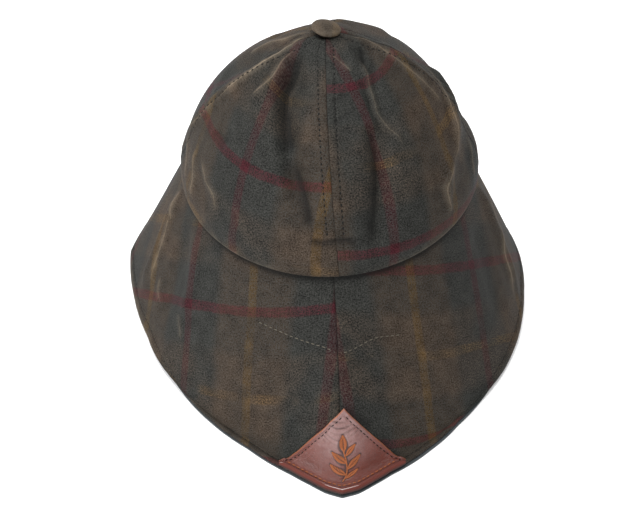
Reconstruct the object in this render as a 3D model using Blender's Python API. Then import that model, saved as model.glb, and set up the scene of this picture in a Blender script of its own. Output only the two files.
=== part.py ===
"""A waxed cotton rain hat with a long tail at the back, lying on its hem as on a table.

Units are metres, +Z is up and the floor is z = 0. The wearer faces +Y, the wearer's right is +X and the
long tail of the brim points to -Y. Angles round the hat are counted from the back, positive to the
wearer's right: 0 is the tail, 90 the right side, 180 the front and -90 the left side.

The crown is four panels sewn to a covered button, the brim two halves that meet at the centre back and
centre front, with a facing under the hem and a leather patch over the tip of the tail.
"""

import math

import bmesh
import bpy
from mathutils import Matrix, Vector

# Cloth and leather
CLOTH = 0.0014
FACING_CLOTH = 0.0012
LEATHER = 0.0014
GAP = 0.0003
LAYER_GAP = 0.0005

# Crown, measured on its outer skin from the plane of its rim
HEAD_WIDTH = 0.170
HEAD_LENGTH = 0.210
CROWN_HEIGHT = 0.083
PEAK_HEIGHT = 0.0056
PEAK_RADIUS = 0.024
RIM_DIP_BACK = 0.0012
RIM_DIP_FRONT = 0.0050
RIM_PUFF = 0.0014
RIM_DENT = 0.0075
RIM_DENT_ANGLE = 110.0
RIM_DENT_SPREAD = 19.0
ROUND_BACK = 1.87
ROUND_FRONT = 1.50
TOP_HOLE = 0.0050

# How the hat lies
STAND_HEIGHT = 0.082
PITCH = 10.5
ROLL = 1.9

# Brim
COLLAR = 0.0050
COLLAR_DROP = 0.0010
COLLAR_CLEARANCE = 0.0004
TAIL_FLARE = 0.0795
TAIL_SWING = 0.0075
HEM_SHOW_LEFT = 0.0007
HEM_SHOW_RIGHT = 0.0022
HEM_LIFT = 0.0020
FACING_WIDTH = 0.022
TAIL_FOOT = 0.012
BRIM_BELLY = 0.0005

# Button and tip patch. The button's profile is out and up, as shares of its radius and dome
BUTTON_RADIUS = 0.0087
BUTTON_DOME = 0.0042
SHANK_RADIUS = 0.0034
SHANK_LENGTH = 0.0060
BUTTON_SEAT = (SHANK_RADIUS, BUTTON_RADIUS * 0.65, BUTTON_RADIUS * 0.97)
BUTTON_PROFILE = [(1.0, 0.12), (0.97, 0.46), (0.82, 0.78), (0.50, 0.96), (0.0, 1.0)]
PATCH_HALF_WIDTH = 0.0365
PATCH_REACH = 0.0520
PATCH_EDGE = 0.0009
PATCH_CORNER = 0.0012
PATCH_CLEARANCE = 0.0005
PATCH_ROLL = 0.0048
PATCH_BEAD = 0.0009

# The seams between the crown's panels: name, angle at the rim, angle at the button
CROWN_SEAMS = {
    "back": (3.5, -1.0),
    "right": (83.0, 93.0),
    "front": (180.0, 180.0),
    "left": (-91.0, -75.0),
}

# Crown panels: node, its two seams, columns and rows of faces
CROWN_PANELS = [
    ("crown_back_right", "back", "right", 23, 21),
    ("crown_back_left", "left", "back", 24, 21),
    ("crown_front_right", "right", "front", 17, 15),
    ("crown_front_left", "front", "left", 17, 15),
]

# The brim's plan outline: angle, then how far the hem stands out from the rim on the wearer's left and
# right, both as shares of TAIL_FLARE
HEM = [
    (0, 1.000, 1.000),
    (3, 0.965, 0.967),
    (6, 0.907, 0.907),
    (10, 0.842, 0.840),
    (20, 0.722, 0.737),
    (30, 0.648, 0.657),
    (45, 0.551, 0.591),
    (60, 0.485, 0.540),
    (75, 0.478, 0.470),
    (90, 0.485, 0.430),
    (100, 0.400, 0.398),
    (110, 0.340, 0.392),
    (125, 0.300, 0.335),
    (150, 0.320, 0.310),
    (180, 0.370, 0.370),
]

# How the hem waves above the floor: angle, height as a share of HEM_LIFT
HEM_WAVES = [
    (-180, 0.0),
    (-150, 0.0),
    (-118, 0.9),
    (-82, 0.2),
    (-50, 0.8),
    (-22, 0.0),
    (22, 0.0),
    (52, 0.4),
    (88, 0.9),
    (120, 0.3),
    (150, 0.0),
    (180, 0.0),
]

# Folds and dents of the crown: three points of the crease as angle and share of the way from rim to
# button, then its height (below zero for a dent) and half width as shares of CROWN_HEIGHT, and how much
# sharper its far side is than its near side
CROWN_FOLDS = {
    "long valley left of the back seam": ((-50, 0.84), (-28, 0.59), (-8, 0.27), -0.052, 0.105, 1.0),
    "swell between valley and back seam": ((-16, 0.74), (-9, 0.55), (-2, 0.40), 0.022, 0.120, 1.0),
    "crease right of the back seam": ((47, 0.75), (36, 0.62), (42, 0.46), -0.034, 0.085, 1.5),
    "dent under the button": ((76, 0.82), (62, 0.78), (50, 0.73), -0.045, 0.080, 1.0),
    "ridge beside the button": ((58, 0.90), (50, 0.84), (36, 0.78), 0.016, 0.050, 1.0),
    "soft valley right of the back seam": ((29, 0.56), (24, 0.40), (16, 0.16), -0.026, 0.110, 1.0),
    "shelf on the right": ((104, 0.49), (88, 0.39), (66, 0.28), 0.034, 0.075, 1.4),
    "shelf end on the right": ((66, 0.28), (56, 0.24), (54, 0.13), 0.026, 0.070, 1.4),
    "hollow under the shelf": ((122, 0.44), (104, 0.33), (92, 0.24), -0.045, 0.110, 1.0),
    "puff over the right rim": ((100, 0.14), (86, 0.16), (72, 0.13), 0.020, 0.090, 1.0),
    "ridge of the left side seam": ((-76, 0.80), (-79, 0.55), (-90, 0.20), 0.024, 0.062, 1.0),
    "ridge of the right side seam": ((94, 0.80), (86, 0.60), (83, 0.42), 0.020, 0.060, 1.0),
    "second ridge on the left": ((-68, 0.82), (-57, 0.69), (-60, 0.57), 0.026, 0.070, 1.6),
    "hollow beside the left seam": ((-84, 0.74), (-92, 0.60), (-96, 0.46), -0.026, 0.100, 1.0),
    "ridge on the front left": ((-130, 0.86), (-111, 0.68), (-112, 0.54), 0.022, 0.080, 1.0),
    "hollow on the front left": ((-150, 0.82), (-134, 0.74), (-124, 0.66), -0.030, 0.120, 1.0),
    "small dent on the left": ((-68, 0.41), (-62, 0.42), (-55, 0.44), -0.018, 0.060, 1.0),
    "upright crease over the left rim": ((-73, 0.27), (-70, 0.18), (-66, 0.07), 0.014, 0.055, 1.3),
    "second crease over the left rim": ((-60, 0.25), (-54, 0.20), (-48, 0.14), 0.012, 0.055, 1.3),
    "wrinkle across the back seam": ((-9, 0.22), (2, 0.235), (12, 0.215), -0.016, 0.040, 1.0),
    "ridge on the front right": ((168, 0.84), (146, 0.74), (128, 0.60), 0.040, 0.120, 1.0),
    "front dent": ((150, 0.72), (160, 0.52), (158, 0.34), -0.045, 0.150, 1.0),
    "front left dent": ((-150, 0.70), (-158, 0.50), (-150, 0.32), -0.036, 0.140, 1.0),
}

# Folds of the brim: three points of the crease as angle and share of the way from rim to hem, then
# height and half width as shares of TAIL_FLARE, and how much sharper its far side is
BRIM_FOLDS = {
    "flute under the left side": ((-82, 0.10), (-76, 0.45), (-72, 0.90), 0.040, 0.085, 1.5),
    "hollow behind the left flute": ((-66, 0.12), (-61, 0.45), (-58, 0.85), -0.034, 0.110, 1.0),
    "second flute on the left": ((-62, 0.10), (-52, 0.35), (-50, 0.62), 0.022, 0.085, 1.3),
    "flute under the right side": ((80, 0.08), (76, 0.45), (70, 0.90), 0.036, 0.085, 1.5),
    "hollow behind the right flute": ((66, 0.12), (62, 0.45), (57, 0.80), -0.030, 0.110, 1.0),
    "swell on the right of the tail": ((36, 0.45), (33, 0.62), (30, 0.80), 0.024, 0.180, 1.0),
    "dip beside the patch": ((14, 0.50), (15, 0.64), (20, 0.82), -0.020, 0.100, 1.0),
    "swell on the left of the tail": ((-28, 0.35), (-26, 0.55), (-24, 0.75), 0.020, 0.200, 1.0),
    "front fold": ((150, 0.15), (154, 0.50), (156, 0.90), 0.030, 0.110, 1.0),
    "front left fold": ((-142, 0.15), (-138, 0.50), (-134, 0.90), -0.030, 0.120, 1.0),
}

# How the shapes ease into each other: powers, and shares of a fold's or a panel's length
RIM_EASE = 3
TAIL_EASE = 6
PUFF_SHARE = 0.16
CROWN_EASE = 0.06
COLLAR_EASE = 0.12
HEM_EASE = 0.10
FOLD_STEPS = 8
FOLD_FADE = 0.22
FOLD_END = 0.15
FOLD_REACH = 2.5
PROBE = 0.004
FOOT_BEND = 0.55
SEARCH_ANGLE = 60.0
SEARCH_STEPS = 30

# Faces along and across each piece, and how they crowd towards the tail and the hem
BRIM_COLUMNS = 36
BRIM_ROWS = 10
FACING_ROWS = 3
PATCH_COLUMNS = 12
PATCH_ROWS = 8
COLUMN_CROWDING = 1.3
ROW_CROWDING = 0.8
BUTTON_SIDES = 24

HAT = (
    Matrix.Translation((0, 0, STAND_HEIGHT))
    @ Matrix.Rotation(math.radians(-PITCH), 4, "X")
    @ Matrix.Rotation(math.radians(-ROLL), 4, "Y")
)


def clear_scene():
    for item in list(bpy.data.objects):
        bpy.data.objects.remove(item, do_unlink=True)


def material(name, colour, roughness, metallic=0.0):
    made = bpy.data.materials.new(name)
    made.use_nodes = True
    shader = made.node_tree.nodes["Principled BSDF"]
    shader.inputs["Base Color"].default_value = (*colour, 1.0)
    shader.inputs["Roughness"].default_value = roughness
    shader.inputs["Metallic"].default_value = metallic
    return made


def mix(start, end, share):
    return start + (end - start) * share


def smooth(share):
    share = min(max(share, 0.0), 1.0)
    return share * share * (3.0 - 2.0 * share)


def wrapped(angle):
    """The same angle between -180 and 180."""
    return (angle + 180.0) % 360.0 - 180.0


def read_table(rows, key, column):
    """The value of a column where the first column is key, eased from row to row."""
    for low, high in zip(rows, rows[1:]):
        if key <= high[0]:
            return mix(low[column], high[column], smooth((key - low[0]) / (high[0] - low[0])))
    return rows[-1][column]


def read_line(rows, key, column):
    """The value of a column where the first column is key, straight from row to row."""
    for low, high in zip(rows, rows[1:]):
        if key <= high[0]:
            return mix(low[column], high[column], (key - low[0]) / (high[0] - low[0]))
    return rows[-1][column]


def crown_radii(angle, out):
    """Half width and half length of the crown at this angle, out being 1 at the rim and 0 at the top.
    The right front of the rim is pushed in."""
    dent = RIM_DENT * math.exp(-(((wrapped(angle) - RIM_DENT_ANGLE) / RIM_DENT_SPREAD) ** 2))
    dent *= out**RIM_EASE
    return (HEAD_WIDTH / 2 - dent) * out, (HEAD_LENGTH / 2 - dent) * out


def crown_height(out, frontness):
    """Height of the outer skin above the rim, where out is the share of the way from middle to rim."""
    power = mix(ROUND_BACK, ROUND_FRONT, frontness)
    peak = PEAK_HEIGHT * math.exp(-((HEAD_WIDTH / 2 * out / PEAK_RADIUS) ** 2))
    return CROWN_HEIGHT * (1.0 - out**power) ** (1.0 / power) + peak


def crown_skin(angle, up):
    """The unfolded outer skin in the hat's frame; up is 0 at the rim and 1 at the button."""
    turn = math.radians(angle)
    rise = min(max(up, 0.0), 1.0) * math.pi / 2.0
    out = max(math.cos(rise), 0.0) ** (2.0 / ROUND_BACK)
    puff = RIM_PUFF * math.sin(math.pi * min(up / PUFF_SHARE, 1.0))
    dip = (RIM_DIP_FRONT if math.cos(turn) < 0 else RIM_DIP_BACK) * math.cos(turn) ** 2
    half_width, half_length = crown_radii(angle, out)
    return Vector((
        (half_width + puff) * math.sin(turn),
        -(half_length + puff) * math.cos(turn),
        crown_height(out, max(-math.cos(turn), 0.0)) - dip * out**RIM_EASE,
    ))


def rim_direction(angle):
    """The level direction that points straight out of the head opening at this angle."""
    turn = math.radians(angle)
    return Vector((math.sin(turn) / HEAD_WIDTH, -math.cos(turn) / HEAD_LENGTH, 0.0)).normalized()


def rim_line(angle, height):
    """The brim's inner face where it stands inside the crown's rim, at a height above the rim."""
    turn = math.radians(angle)
    inset = CLOTH + COLLAR_CLEARANCE + CLOTH + LAYER_GAP + FACING_CLOTH
    dip = (RIM_DIP_FRONT if math.cos(turn) < 0 else RIM_DIP_BACK) * math.cos(turn) ** 2
    half_width, half_length = crown_radii(angle, 1.0)
    return HAT @ Vector((
        (half_width - inset) * math.sin(turn),
        -(half_length - inset) * math.cos(turn),
        height - dip,
    ))


def tailness(angle):
    """1 on the middle line of the tail, fading to 0 at the sides."""
    return max(math.cos(math.radians(angle)), 0.0) ** TAIL_EASE


def hem_line(angle):
    """The lowest line of the brim's inner face."""
    side = 1 if angle < 0 else 2
    flare = TAIL_FLARE * read_line(HEM, abs(wrapped(angle)), side)
    point = rim_line(angle, 0.0) + rim_direction(angle) * flare
    point.x += TAIL_SWING * tailness(angle)
    point.z = HEM_LIFT * read_table(HEM_WAVES, wrapped(angle), 1)
    return point


def brim_skin(angle, down):
    """The unfolded inner face of the brim. From -1 to 0 it stands in the crown, from 0 to 1 it falls."""
    top = rim_line(angle, -COLLAR_DROP)
    if down <= 0:
        return mix(top, rim_line(angle, COLLAR), -down)
    hem = hem_line(angle)
    run = (Vector((hem.x, hem.y, 0)) - Vector((top.x, top.y, 0))).length
    foot = TAIL_FOOT * tailness(angle) / run
    bend = FOOT_BEND * foot
    fall = down / (1.0 - foot)
    if fall >= 1.0 + bend:
        height = 0.0
    elif fall <= 1.0 - bend:
        height = 1.0 - fall
    else:
        height = (1.0 + bend - fall) ** 2 / (4.0 * bend)
    point = mix(top, hem, down)
    point.z = mix(hem.z, top.z, height)
    belly = BRIM_BELLY * (1.0 - tailness(angle)) * math.sin(math.pi * down)
    return point + rim_direction(angle) * belly


def normal_of(skin, angle, along):
    """The outward normal of a skin, from four points close by."""
    step = math.degrees(PROBE / HEAD_LENGTH)
    across = skin(angle + step, along) - skin(angle - step, along)
    upward = skin(angle, along + PROBE) - skin(angle, along - PROBE)
    normal = across.cross(upward)
    return normal.normalized()


def fold_paths(folds, skin, size):
    """Each fold as the points of its crease on the skin, with its height, half width and sharpness."""
    paths = []
    for first, middle, last, height, width, sharp in folds.values():
        points = []
        for step in range(FOLD_STEPS + 1):
            share = step / FOLD_STEPS
            ends = (1 - share) ** 2, 2 * share * (1 - share), share**2
            bend = [2 * middle[axis] - (first[axis] + last[axis]) / 2 for axis in (0, 1)]
            place = [
                ends[0] * first[axis] + ends[1] * bend[axis] + ends[2] * last[axis] for axis in (0, 1)
            ]
            points.append(skin(place[0], place[1]))
        paths.append((points, height * size, width * size, sharp))
    return paths


def fold_height(point, normal, paths):
    """How far all folds together move a point of the skin along its normal."""
    total = 0.0
    for points, height, width, sharp in paths:
        reach = FOLD_REACH * width
        best, side, share = reach, 1.0, 0.0
        for index, (start, end) in enumerate(zip(points, points[1:])):
            line = end - start
            along = min(max((point - start).dot(line) / line.length_squared, 0.0), 1.0)
            offset = point - (start + line * along)
            if offset.length < best:
                best = offset.length
                side = line.cross(normal).dot(offset)
                share = (index + along) / FOLD_STEPS
        if best >= reach:
            continue
        fade = smooth(share / FOLD_FADE) * smooth((1.0 - share) / FOLD_FADE)
        half = width / sharp if side > 0 else width
        total += height * mix(FOLD_END, 1.0, fade) * math.exp(-((best / half) ** 2))
    return total


def crown_point(angle, up, depth, paths):
    """A point of the folded crown, this deep under its outer skin, in the world."""
    skin = crown_skin(angle, up)
    normal = normal_of(crown_skin, angle, up)
    ease = smooth(up / CROWN_EASE)
    folded = skin + normal * (fold_height(skin, normal, paths) * ease - depth)
    return HAT @ folded


def brim_point(angle, down, out, paths):
    """A point of the folded brim, this far outside its inner face, in the world."""
    skin = brim_skin(angle, down)
    normal = -normal_of(brim_skin, angle, down)
    ease = smooth(down / COLLAR_EASE) * smooth((1.0 - down) / HEM_EASE)
    fold = 0.0
    if ease > 0:
        fold = fold_height(skin, normal, paths) * ease
    folded = skin + normal * (fold + out)
    floor = max(out, 0.0) * max(normal.z, 0.0)
    folded.z = max(folded.z, floor)
    return folded


def brim_length(angle):
    return (hem_line(angle) - rim_line(angle, -COLLAR_DROP)).length


def tail_angle(across, down):
    """The angle at which the brim stands this far to the right of its centre back seam."""
    low, high = -SEARCH_ANGLE, SEARCH_ANGLE
    for _ in range(SEARCH_STEPS):
        middle = (low + high) / 2
        if brim_skin(middle, down).x - brim_skin(0.0, down).x < across:
            low = middle
        else:
            high = middle
    return (low + high) / 2


def cloth_panel(name, place, columns, rows, finish):
    """A closed wall of cloth: two grids laid on the skins that place() gives, joined at their edges."""
    shape = bmesh.new()
    for side in (0, 1):
        grid = bmesh.ops.create_grid(shape, x_segments=columns, y_segments=rows, size=1.0)["verts"]
        for corner in grid:
            corner.co = place((corner.co.x + 1) / 2, (corner.co.y + 1) / 2, side)
    edges = [edge for edge in shape.edges if edge.is_boundary]
    bmesh.ops.bridge_loops(shape, edges=edges)
    bmesh.ops.recalc_face_normals(shape, faces=shape.faces)
    return finished(name, shape, finish)


def finished(name, shape, finish):
    mesh = bpy.data.meshes.new(name)
    shape.to_mesh(mesh)
    shape.free()
    mesh.materials.append(finish)
    mesh.shade_smooth()
    mesh.set_sharp_from_angle(angle=math.radians(50))
    made = bpy.data.objects.new(name, mesh)
    bpy.context.scene.collection.objects.link(made)
    return made


def crown_panel(name, start, end, columns, rows, finish, paths):
    """One panel of the crown, between two seams and from the rim to the hole under the button."""
    first, last = CROWN_SEAMS[start], CROWN_SEAMS[end]
    turn = 360.0 if last[0] < first[0] else 0.0
    top = math.acos((TOP_HOLE / (HEAD_WIDTH / 2)) ** (ROUND_BACK / 2)) / (math.pi / 2)

    def place(across, up, side):
        up = mix(0.0, top, up)
        around = (HEAD_WIDTH + HEAD_LENGTH) / 4 * math.cos(up * math.pi / 2)
        trim = math.degrees(GAP / 2 / max(around, TOP_HOLE))
        low = mix(first[0], first[1], up) + trim
        high = mix(last[0], last[1], up) + turn - trim
        return crown_point(mix(low, high, across), up, CLOTH * (1 - side), paths)

    return cloth_panel(name, place, columns, rows, finish)


def top_button(finish):
    """The covered button with its shank, turned round the crown's own axis."""
    shape = bmesh.new()
    apex = CROWN_HEIGHT + PEAK_HEIGHT
    seat = [crown_height(radius / (HEAD_WIDTH / 2), 0.0) - apex + GAP for radius in BUTTON_SEAT]
    profile = [(0.0, -SHANK_LENGTH), (SHANK_RADIUS, -SHANK_LENGTH), *zip(BUTTON_SEAT, seat)]
    profile += [(BUTTON_RADIUS * out, BUTTON_DOME * height) for out, height in BUTTON_PROFILE]
    points = [shape.verts.new((radius, 0, height)) for radius, height in profile]
    edges = [shape.edges.new(pair) for pair in zip(points, points[1:])]
    bmesh.ops.spin(
        shape,
        geom=points + edges,
        axis=(0, 0, 1),
        cent=(0, 0, 0),
        angle=math.tau,
        steps=BUTTON_SIDES,
        use_merge=True,
    )
    bmesh.ops.remove_doubles(shape, verts=shape.verts, dist=GAP / 10)
    bmesh.ops.recalc_face_normals(shape, faces=shape.faces)
    made = finished("top_button", shape, finish)
    made.matrix_world = HAT @ Matrix.Translation((0, 0, apex))
    return made


def trimmed(side, across):
    """The angle this far across a half of the brim, from the back to the front with a gap at the seams."""
    trim = math.degrees(GAP / 2 / (HEAD_WIDTH / 2))
    return side * (trim + (180.0 - 2 * trim) * across**COLUMN_CROWDING)


def facing_row(share):
    """Where a row of faces lies across the facing; the rows crowd towards the hem, where it bends."""
    return share**ROW_CROWDING


def brim_half(name, side_of_hat, finish, paths):
    """One half of the brim's outer cloth, from inside the crown's rim to the hem."""
    upper_rows = BRIM_ROWS - FACING_ROWS - 1

    def place(across, down, side):
        angle = trimmed(side_of_hat, across)
        facing = 1.0 - FACING_WIDTH / brim_length(angle)
        show = HEM_SHOW_LEFT if angle < 0 else HEM_SHOW_RIGHT
        hem = 1.0 - show / brim_length(angle)
        row = round(down * BRIM_ROWS) - 1
        if row <= upper_rows:
            level = row if row < 0 else facing * row / upper_rows
        else:
            level = min(mix(facing, 1.0, facing_row((row - upper_rows) / FACING_ROWS)), hem)
        out = FACING_CLOTH + LAYER_GAP + CLOTH * side
        return brim_point(angle, level, out, paths)

    return cloth_panel(name, place, BRIM_COLUMNS, BRIM_ROWS, finish)


def hem_facing(name, side_of_hat, finish, paths):
    """One half of the facing under the hem. Its lower edge is what the hat rests on."""

    def place(across, down, side):
        angle = trimmed(side_of_hat, across)
        level = mix(1.0 - FACING_WIDTH / brim_length(angle), 1.0, facing_row(down))
        return brim_point(angle, level, FACING_CLOTH * side, paths)

    return cloth_panel(name, place, BRIM_COLUMNS, FACING_ROWS, finish)


def tip_patch(finish, paths):
    """The leather over the tip: a kite whose two lower sides follow the hem and roll over it."""
    cloth_face = FACING_CLOTH + LAYER_GAP + CLOTH

    def place(across, down, side):
        x = (PATCH_HALF_WIDTH - PATCH_CORNER) * (2 * across - 1)
        height = PATCH_REACH * (1 - abs(x) / PATCH_HALF_WIDTH)
        from_hem = mix(height, 0.0, down)
        half_way = brim_skin(tail_angle(x, 0.5), 0.5)
        half = (brim_skin(tail_angle(x, 1.0), 1.0) - half_way).length
        level = 1.0 - 0.5 * (from_hem + PATCH_EDGE) / half
        roll = 1.0 - min(from_hem / PATCH_ROLL, 1.0)
        bead = PATCH_BEAD * math.sin(math.pi * roll) - LEATHER / 2 * smooth(roll) ** 2
        bead *= min(height / (2 * PATCH_ROLL), 1.0)
        out = cloth_face + PATCH_CLEARANCE + side * (LEATHER + bead)
        return brim_point(tail_angle(x, level), level, out, paths)

    return cloth_panel("tip_patch", place, PATCH_COLUMNS, PATCH_ROWS, finish)


def centre_on_floor(pieces):
    """Moves the whole hat so that the middle of its footprint is at the origin."""
    root = bpy.data.objects.new("rain_hat", None)
    bpy.context.scene.collection.objects.link(root)
    bpy.context.view_layer.update()
    corners = [piece.matrix_world @ vertex.co for piece in pieces for vertex in piece.data.vertices]
    middle_x = (min(corner.x for corner in corners) + max(corner.x for corner in corners)) / 2
    middle_y = (min(corner.y for corner in corners) + max(corner.y for corner in corners)) / 2
    for piece in pieces:
        piece.parent = root
    root.location = (-middle_x, -middle_y, 0.0)


def build_hat():
    clear_scene()
    waxed_back = material("waxed_cotton_back", (0.050, 0.048, 0.040), 0.62)
    waxed_front = material("waxed_cotton_front", (0.052, 0.046, 0.036), 0.62)
    waxed_brim = material("waxed_cotton_brim", (0.048, 0.047, 0.041), 0.60)
    facing = material("facing_cotton", (0.022, 0.026, 0.024), 0.80)
    covered = material("button_cotton", (0.060, 0.044, 0.028), 0.62)
    leather = material("patch_leather", (0.105, 0.028, 0.020), 0.38)

    crown_paths = fold_paths(CROWN_FOLDS, crown_skin, CROWN_HEIGHT)
    brim_paths = fold_paths(BRIM_FOLDS, brim_skin, TAIL_FLARE)
    pieces = []
    for name, start, end, columns, rows in CROWN_PANELS:
        finish = waxed_back if "back" in name else waxed_front
        pieces.append(crown_panel(name, start, end, columns, rows, finish, crown_paths))
    pieces.append(top_button(covered))
    for side, side_of_hat in (("left", -1), ("right", 1)):
        pieces.append(brim_half("brim_" + side, side_of_hat, waxed_brim, brim_paths))
        pieces.append(hem_facing("hem_facing_" + side, side_of_hat, facing, brim_paths))
    pieces.append(tip_patch(leather, brim_paths))
    centre_on_floor(pieces)


build_hat()
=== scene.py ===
# %% [markdown]
# A rain hat of waxed plaid cotton.
#
# The hat lies on its hem and is seen from behind and above: a crown of four panels under a covered
# button, a steep brim that runs long at the back, and a leather patch over its tip. All of it is thin
# cloth or leather, so nearly every piece is made in one way here: a grid laid on a curved skin, a
# second grid a cloth's thickness away, and an edge that closes the two. The CAD model has the same
# skins with fewer faces. This file adds the finer creases, the seams, the stitches and the finishes.

# %% Tools and the CAD model
import math

import bmesh
import bpy
import numpy as np
from mathutils import Matrix, Vector


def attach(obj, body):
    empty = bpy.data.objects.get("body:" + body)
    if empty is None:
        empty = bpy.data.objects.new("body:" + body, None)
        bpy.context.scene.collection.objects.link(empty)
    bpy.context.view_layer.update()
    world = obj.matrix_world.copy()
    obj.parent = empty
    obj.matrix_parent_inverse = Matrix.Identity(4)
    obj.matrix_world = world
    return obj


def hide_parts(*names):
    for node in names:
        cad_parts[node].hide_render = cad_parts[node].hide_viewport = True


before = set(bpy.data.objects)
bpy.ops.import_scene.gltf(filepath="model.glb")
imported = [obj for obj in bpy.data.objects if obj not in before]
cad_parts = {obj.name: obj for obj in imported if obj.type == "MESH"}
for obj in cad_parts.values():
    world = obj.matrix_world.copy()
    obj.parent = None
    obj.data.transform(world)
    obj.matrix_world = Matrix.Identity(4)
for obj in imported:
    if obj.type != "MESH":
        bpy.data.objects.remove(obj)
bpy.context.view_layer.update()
print("CAD nodes:", ", ".join(sorted(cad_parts)))

# %% [markdown]
# The sizes are the ones that the CAD model was built from, so a piece made here lies where its solid
# does. They are in metres, and angles are in degrees: 0 is the centre back, 90 is the right of the
# picture and 180 is the front.

# %% The sizes of the hat, in metres and degrees
CLOTH = 0.0014
FACING_CLOTH = 0.0012
LEATHER = 0.0014
LAYER_GAP = 0.0005

HEAD_WIDTH = 0.170
HEAD_LENGTH = 0.210
CROWN_HEIGHT = 0.083
PEAK_HEIGHT = 0.0056
PEAK_RADIUS = 0.024
RIM_DIP_BACK = 0.0012
RIM_DIP_FRONT = 0.0050
RIM_PUFF = 0.0014
PUFF_SHARE = 0.16
RIM_DENT = 0.0075
RIM_DENT_ANGLE = 110.0
RIM_DENT_SPREAD = 19.0
RIM_EASE = 3
ROUND_BACK = 1.87
ROUND_FRONT = 1.50
TOP_HOLE = 0.0050

STAND_HEIGHT = 0.082
PITCH = 10.5
ROLL = 1.9
HAT_SHIFT = np.array((0.00246, 0.02433, 0.0))

COLLAR = 0.0050
COLLAR_DROP = 0.0010
COLLAR_CLEARANCE = 0.0004
TAIL_FLARE = 0.0795
TAIL_SWING = 0.0075
TAIL_EASE = 6
HEM_LIFT = 0.0020
HEM_SHOW = (0.0007, 0.0022)
FACING_WIDTH = 0.022
TAIL_FOOT = 0.012
FOOT_BEND = 0.55
BRIM_BELLY = 0.0005

# Each crown seam: angle at the rim, angle at the button
CROWN_SEAMS = {"back": (3.5, -1.0), "right": (83.0, 93.0), "front": (180.0, 180.0), "left": (-91.0, -75.0)}

# How far the hem stands out from the rim: angle, then shares of TAIL_FLARE on the wearer's left and right
HEM = [
    (0, 1.000, 1.000),
    (3, 0.965, 0.967),
    (6, 0.907, 0.907),
    (10, 0.842, 0.840),
    (20, 0.722, 0.737),
    (30, 0.648, 0.657),
    (45, 0.551, 0.591),
    (60, 0.485, 0.540),
    (75, 0.478, 0.470),
    (90, 0.485, 0.430),
    (100, 0.400, 0.398),
    (110, 0.340, 0.392),
    (125, 0.300, 0.335),
    (150, 0.320, 0.310),
    (180, 0.370, 0.370),
]

# How the hem waves above the floor: angle, share of HEM_LIFT
HEM_WAVES = [
    (-180, 0.0),
    (-150, 0.0),
    (-118, 0.9),
    (-82, 0.2),
    (-50, 0.8),
    (-22, 0.0),
    (22, 0.0),
    (52, 0.4),
    (88, 0.9),
    (120, 0.3),
    (150, 0.0),
    (180, 0.0),
]


# %% Small maths on whole arrays of points
def mix(start, end, share):
    return start + (end - start) * share


def smooth(share):
    share = np.clip(share, 0.0, 1.0)
    return share * share * (3.0 - 2.0 * share)


def wrapped(angle):
    """The same angle between -180 and 180."""
    return (angle + 180.0) % 360.0 - 180.0


def bell(distance, width):
    """1 at no distance and almost nothing at twice the width."""
    return np.exp(-((distance / width) ** 2))


def points(x, y, z):
    return np.stack(np.broadcast_arrays(x, y, z), axis=-1)


def unit(vectors):
    return vectors / np.linalg.norm(vectors, axis=-1, keepdims=True)


def run_along(line):
    """How far along a line of points each of them lies."""
    return np.concatenate([[0.0], np.cumsum(np.linalg.norm(np.diff(line, axis=0), axis=-1))])


def read_line(rows, key, column):
    """The value of a column where the first column is key, straight from row to row."""
    table = np.array(rows, float)
    return np.interp(key, table[:, 0], table[:, column])


def read_curve(rows, key, column):
    """The same, along a smooth curve through the rows."""
    table = np.array(rows, float)
    values = table[:, column]
    slope = np.gradient(values, table[:, 0])
    row = np.clip(np.searchsorted(table[:, 0], key) - 1, 0, len(table) - 2)
    gap = table[row + 1, 0] - table[row, 0]
    share = (key - table[row, 0]) / gap
    lean = share * (1 - share)
    step = values[row + 1] - values[row]
    bend = lean * ((1 - share) * (slope[row] * gap - step) + share * (step - slope[row + 1] * gap))
    return values[row] + step * share + bend


def read_eased(rows, key, column):
    """The same, eased from row to row."""
    table = np.array(rows, float)
    row = np.clip(np.searchsorted(table[:, 0], key), 1, len(table) - 1)
    low, high = table[row - 1], table[row]
    share = smooth((key - low[..., 0]) / (high[..., 0] - low[..., 0]))
    return mix(low[..., column], high[..., column], share)


# %% The crown before it is folded
def in_world(place):
    """Points of the hat's own frame, tipped forward and rolled as the hat lies."""
    pitch, roll = math.radians(-PITCH), math.radians(-ROLL)
    about_x = np.array((
        (1, 0, 0),
        (0, math.cos(pitch), -math.sin(pitch)),
        (0, math.sin(pitch), math.cos(pitch)),
    ))
    about_y = np.array((
        (math.cos(roll), 0, math.sin(roll)),
        (0, 1, 0),
        (-math.sin(roll), 0, math.cos(roll)),
    ))
    return place @ (about_x @ about_y).T + np.array((0, 0, STAND_HEIGHT)) + HAT_SHIFT


def crown_radii(angle, out):
    """Half width and half length, out being 1 at the rim and 0 at the top."""
    dent = RIM_DENT * bell(wrapped(angle) - RIM_DENT_ANGLE, RIM_DENT_SPREAD) * out**RIM_EASE
    return (HEAD_WIDTH / 2 - dent) * out, (HEAD_LENGTH / 2 - dent) * out


def crown_height(out, frontness):
    power = mix(ROUND_BACK, ROUND_FRONT, frontness)
    peak = PEAK_HEIGHT * bell(HEAD_WIDTH / 2 * out, PEAK_RADIUS)
    return CROWN_HEIGHT * (1.0 - out**power) ** (1.0 / power) + peak


def rim_dip(angle):
    across = np.cos(np.radians(angle))
    return np.where(across < 0, RIM_DIP_FRONT, RIM_DIP_BACK) * across**2


def crown_out(up):
    """How far out a height share lies, from 1 at the rim to 0 at the button."""
    return np.maximum(np.cos(np.clip(up, 0.0, 1.0) * np.pi / 2), 0.0) ** (2.0 / ROUND_BACK)


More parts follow.
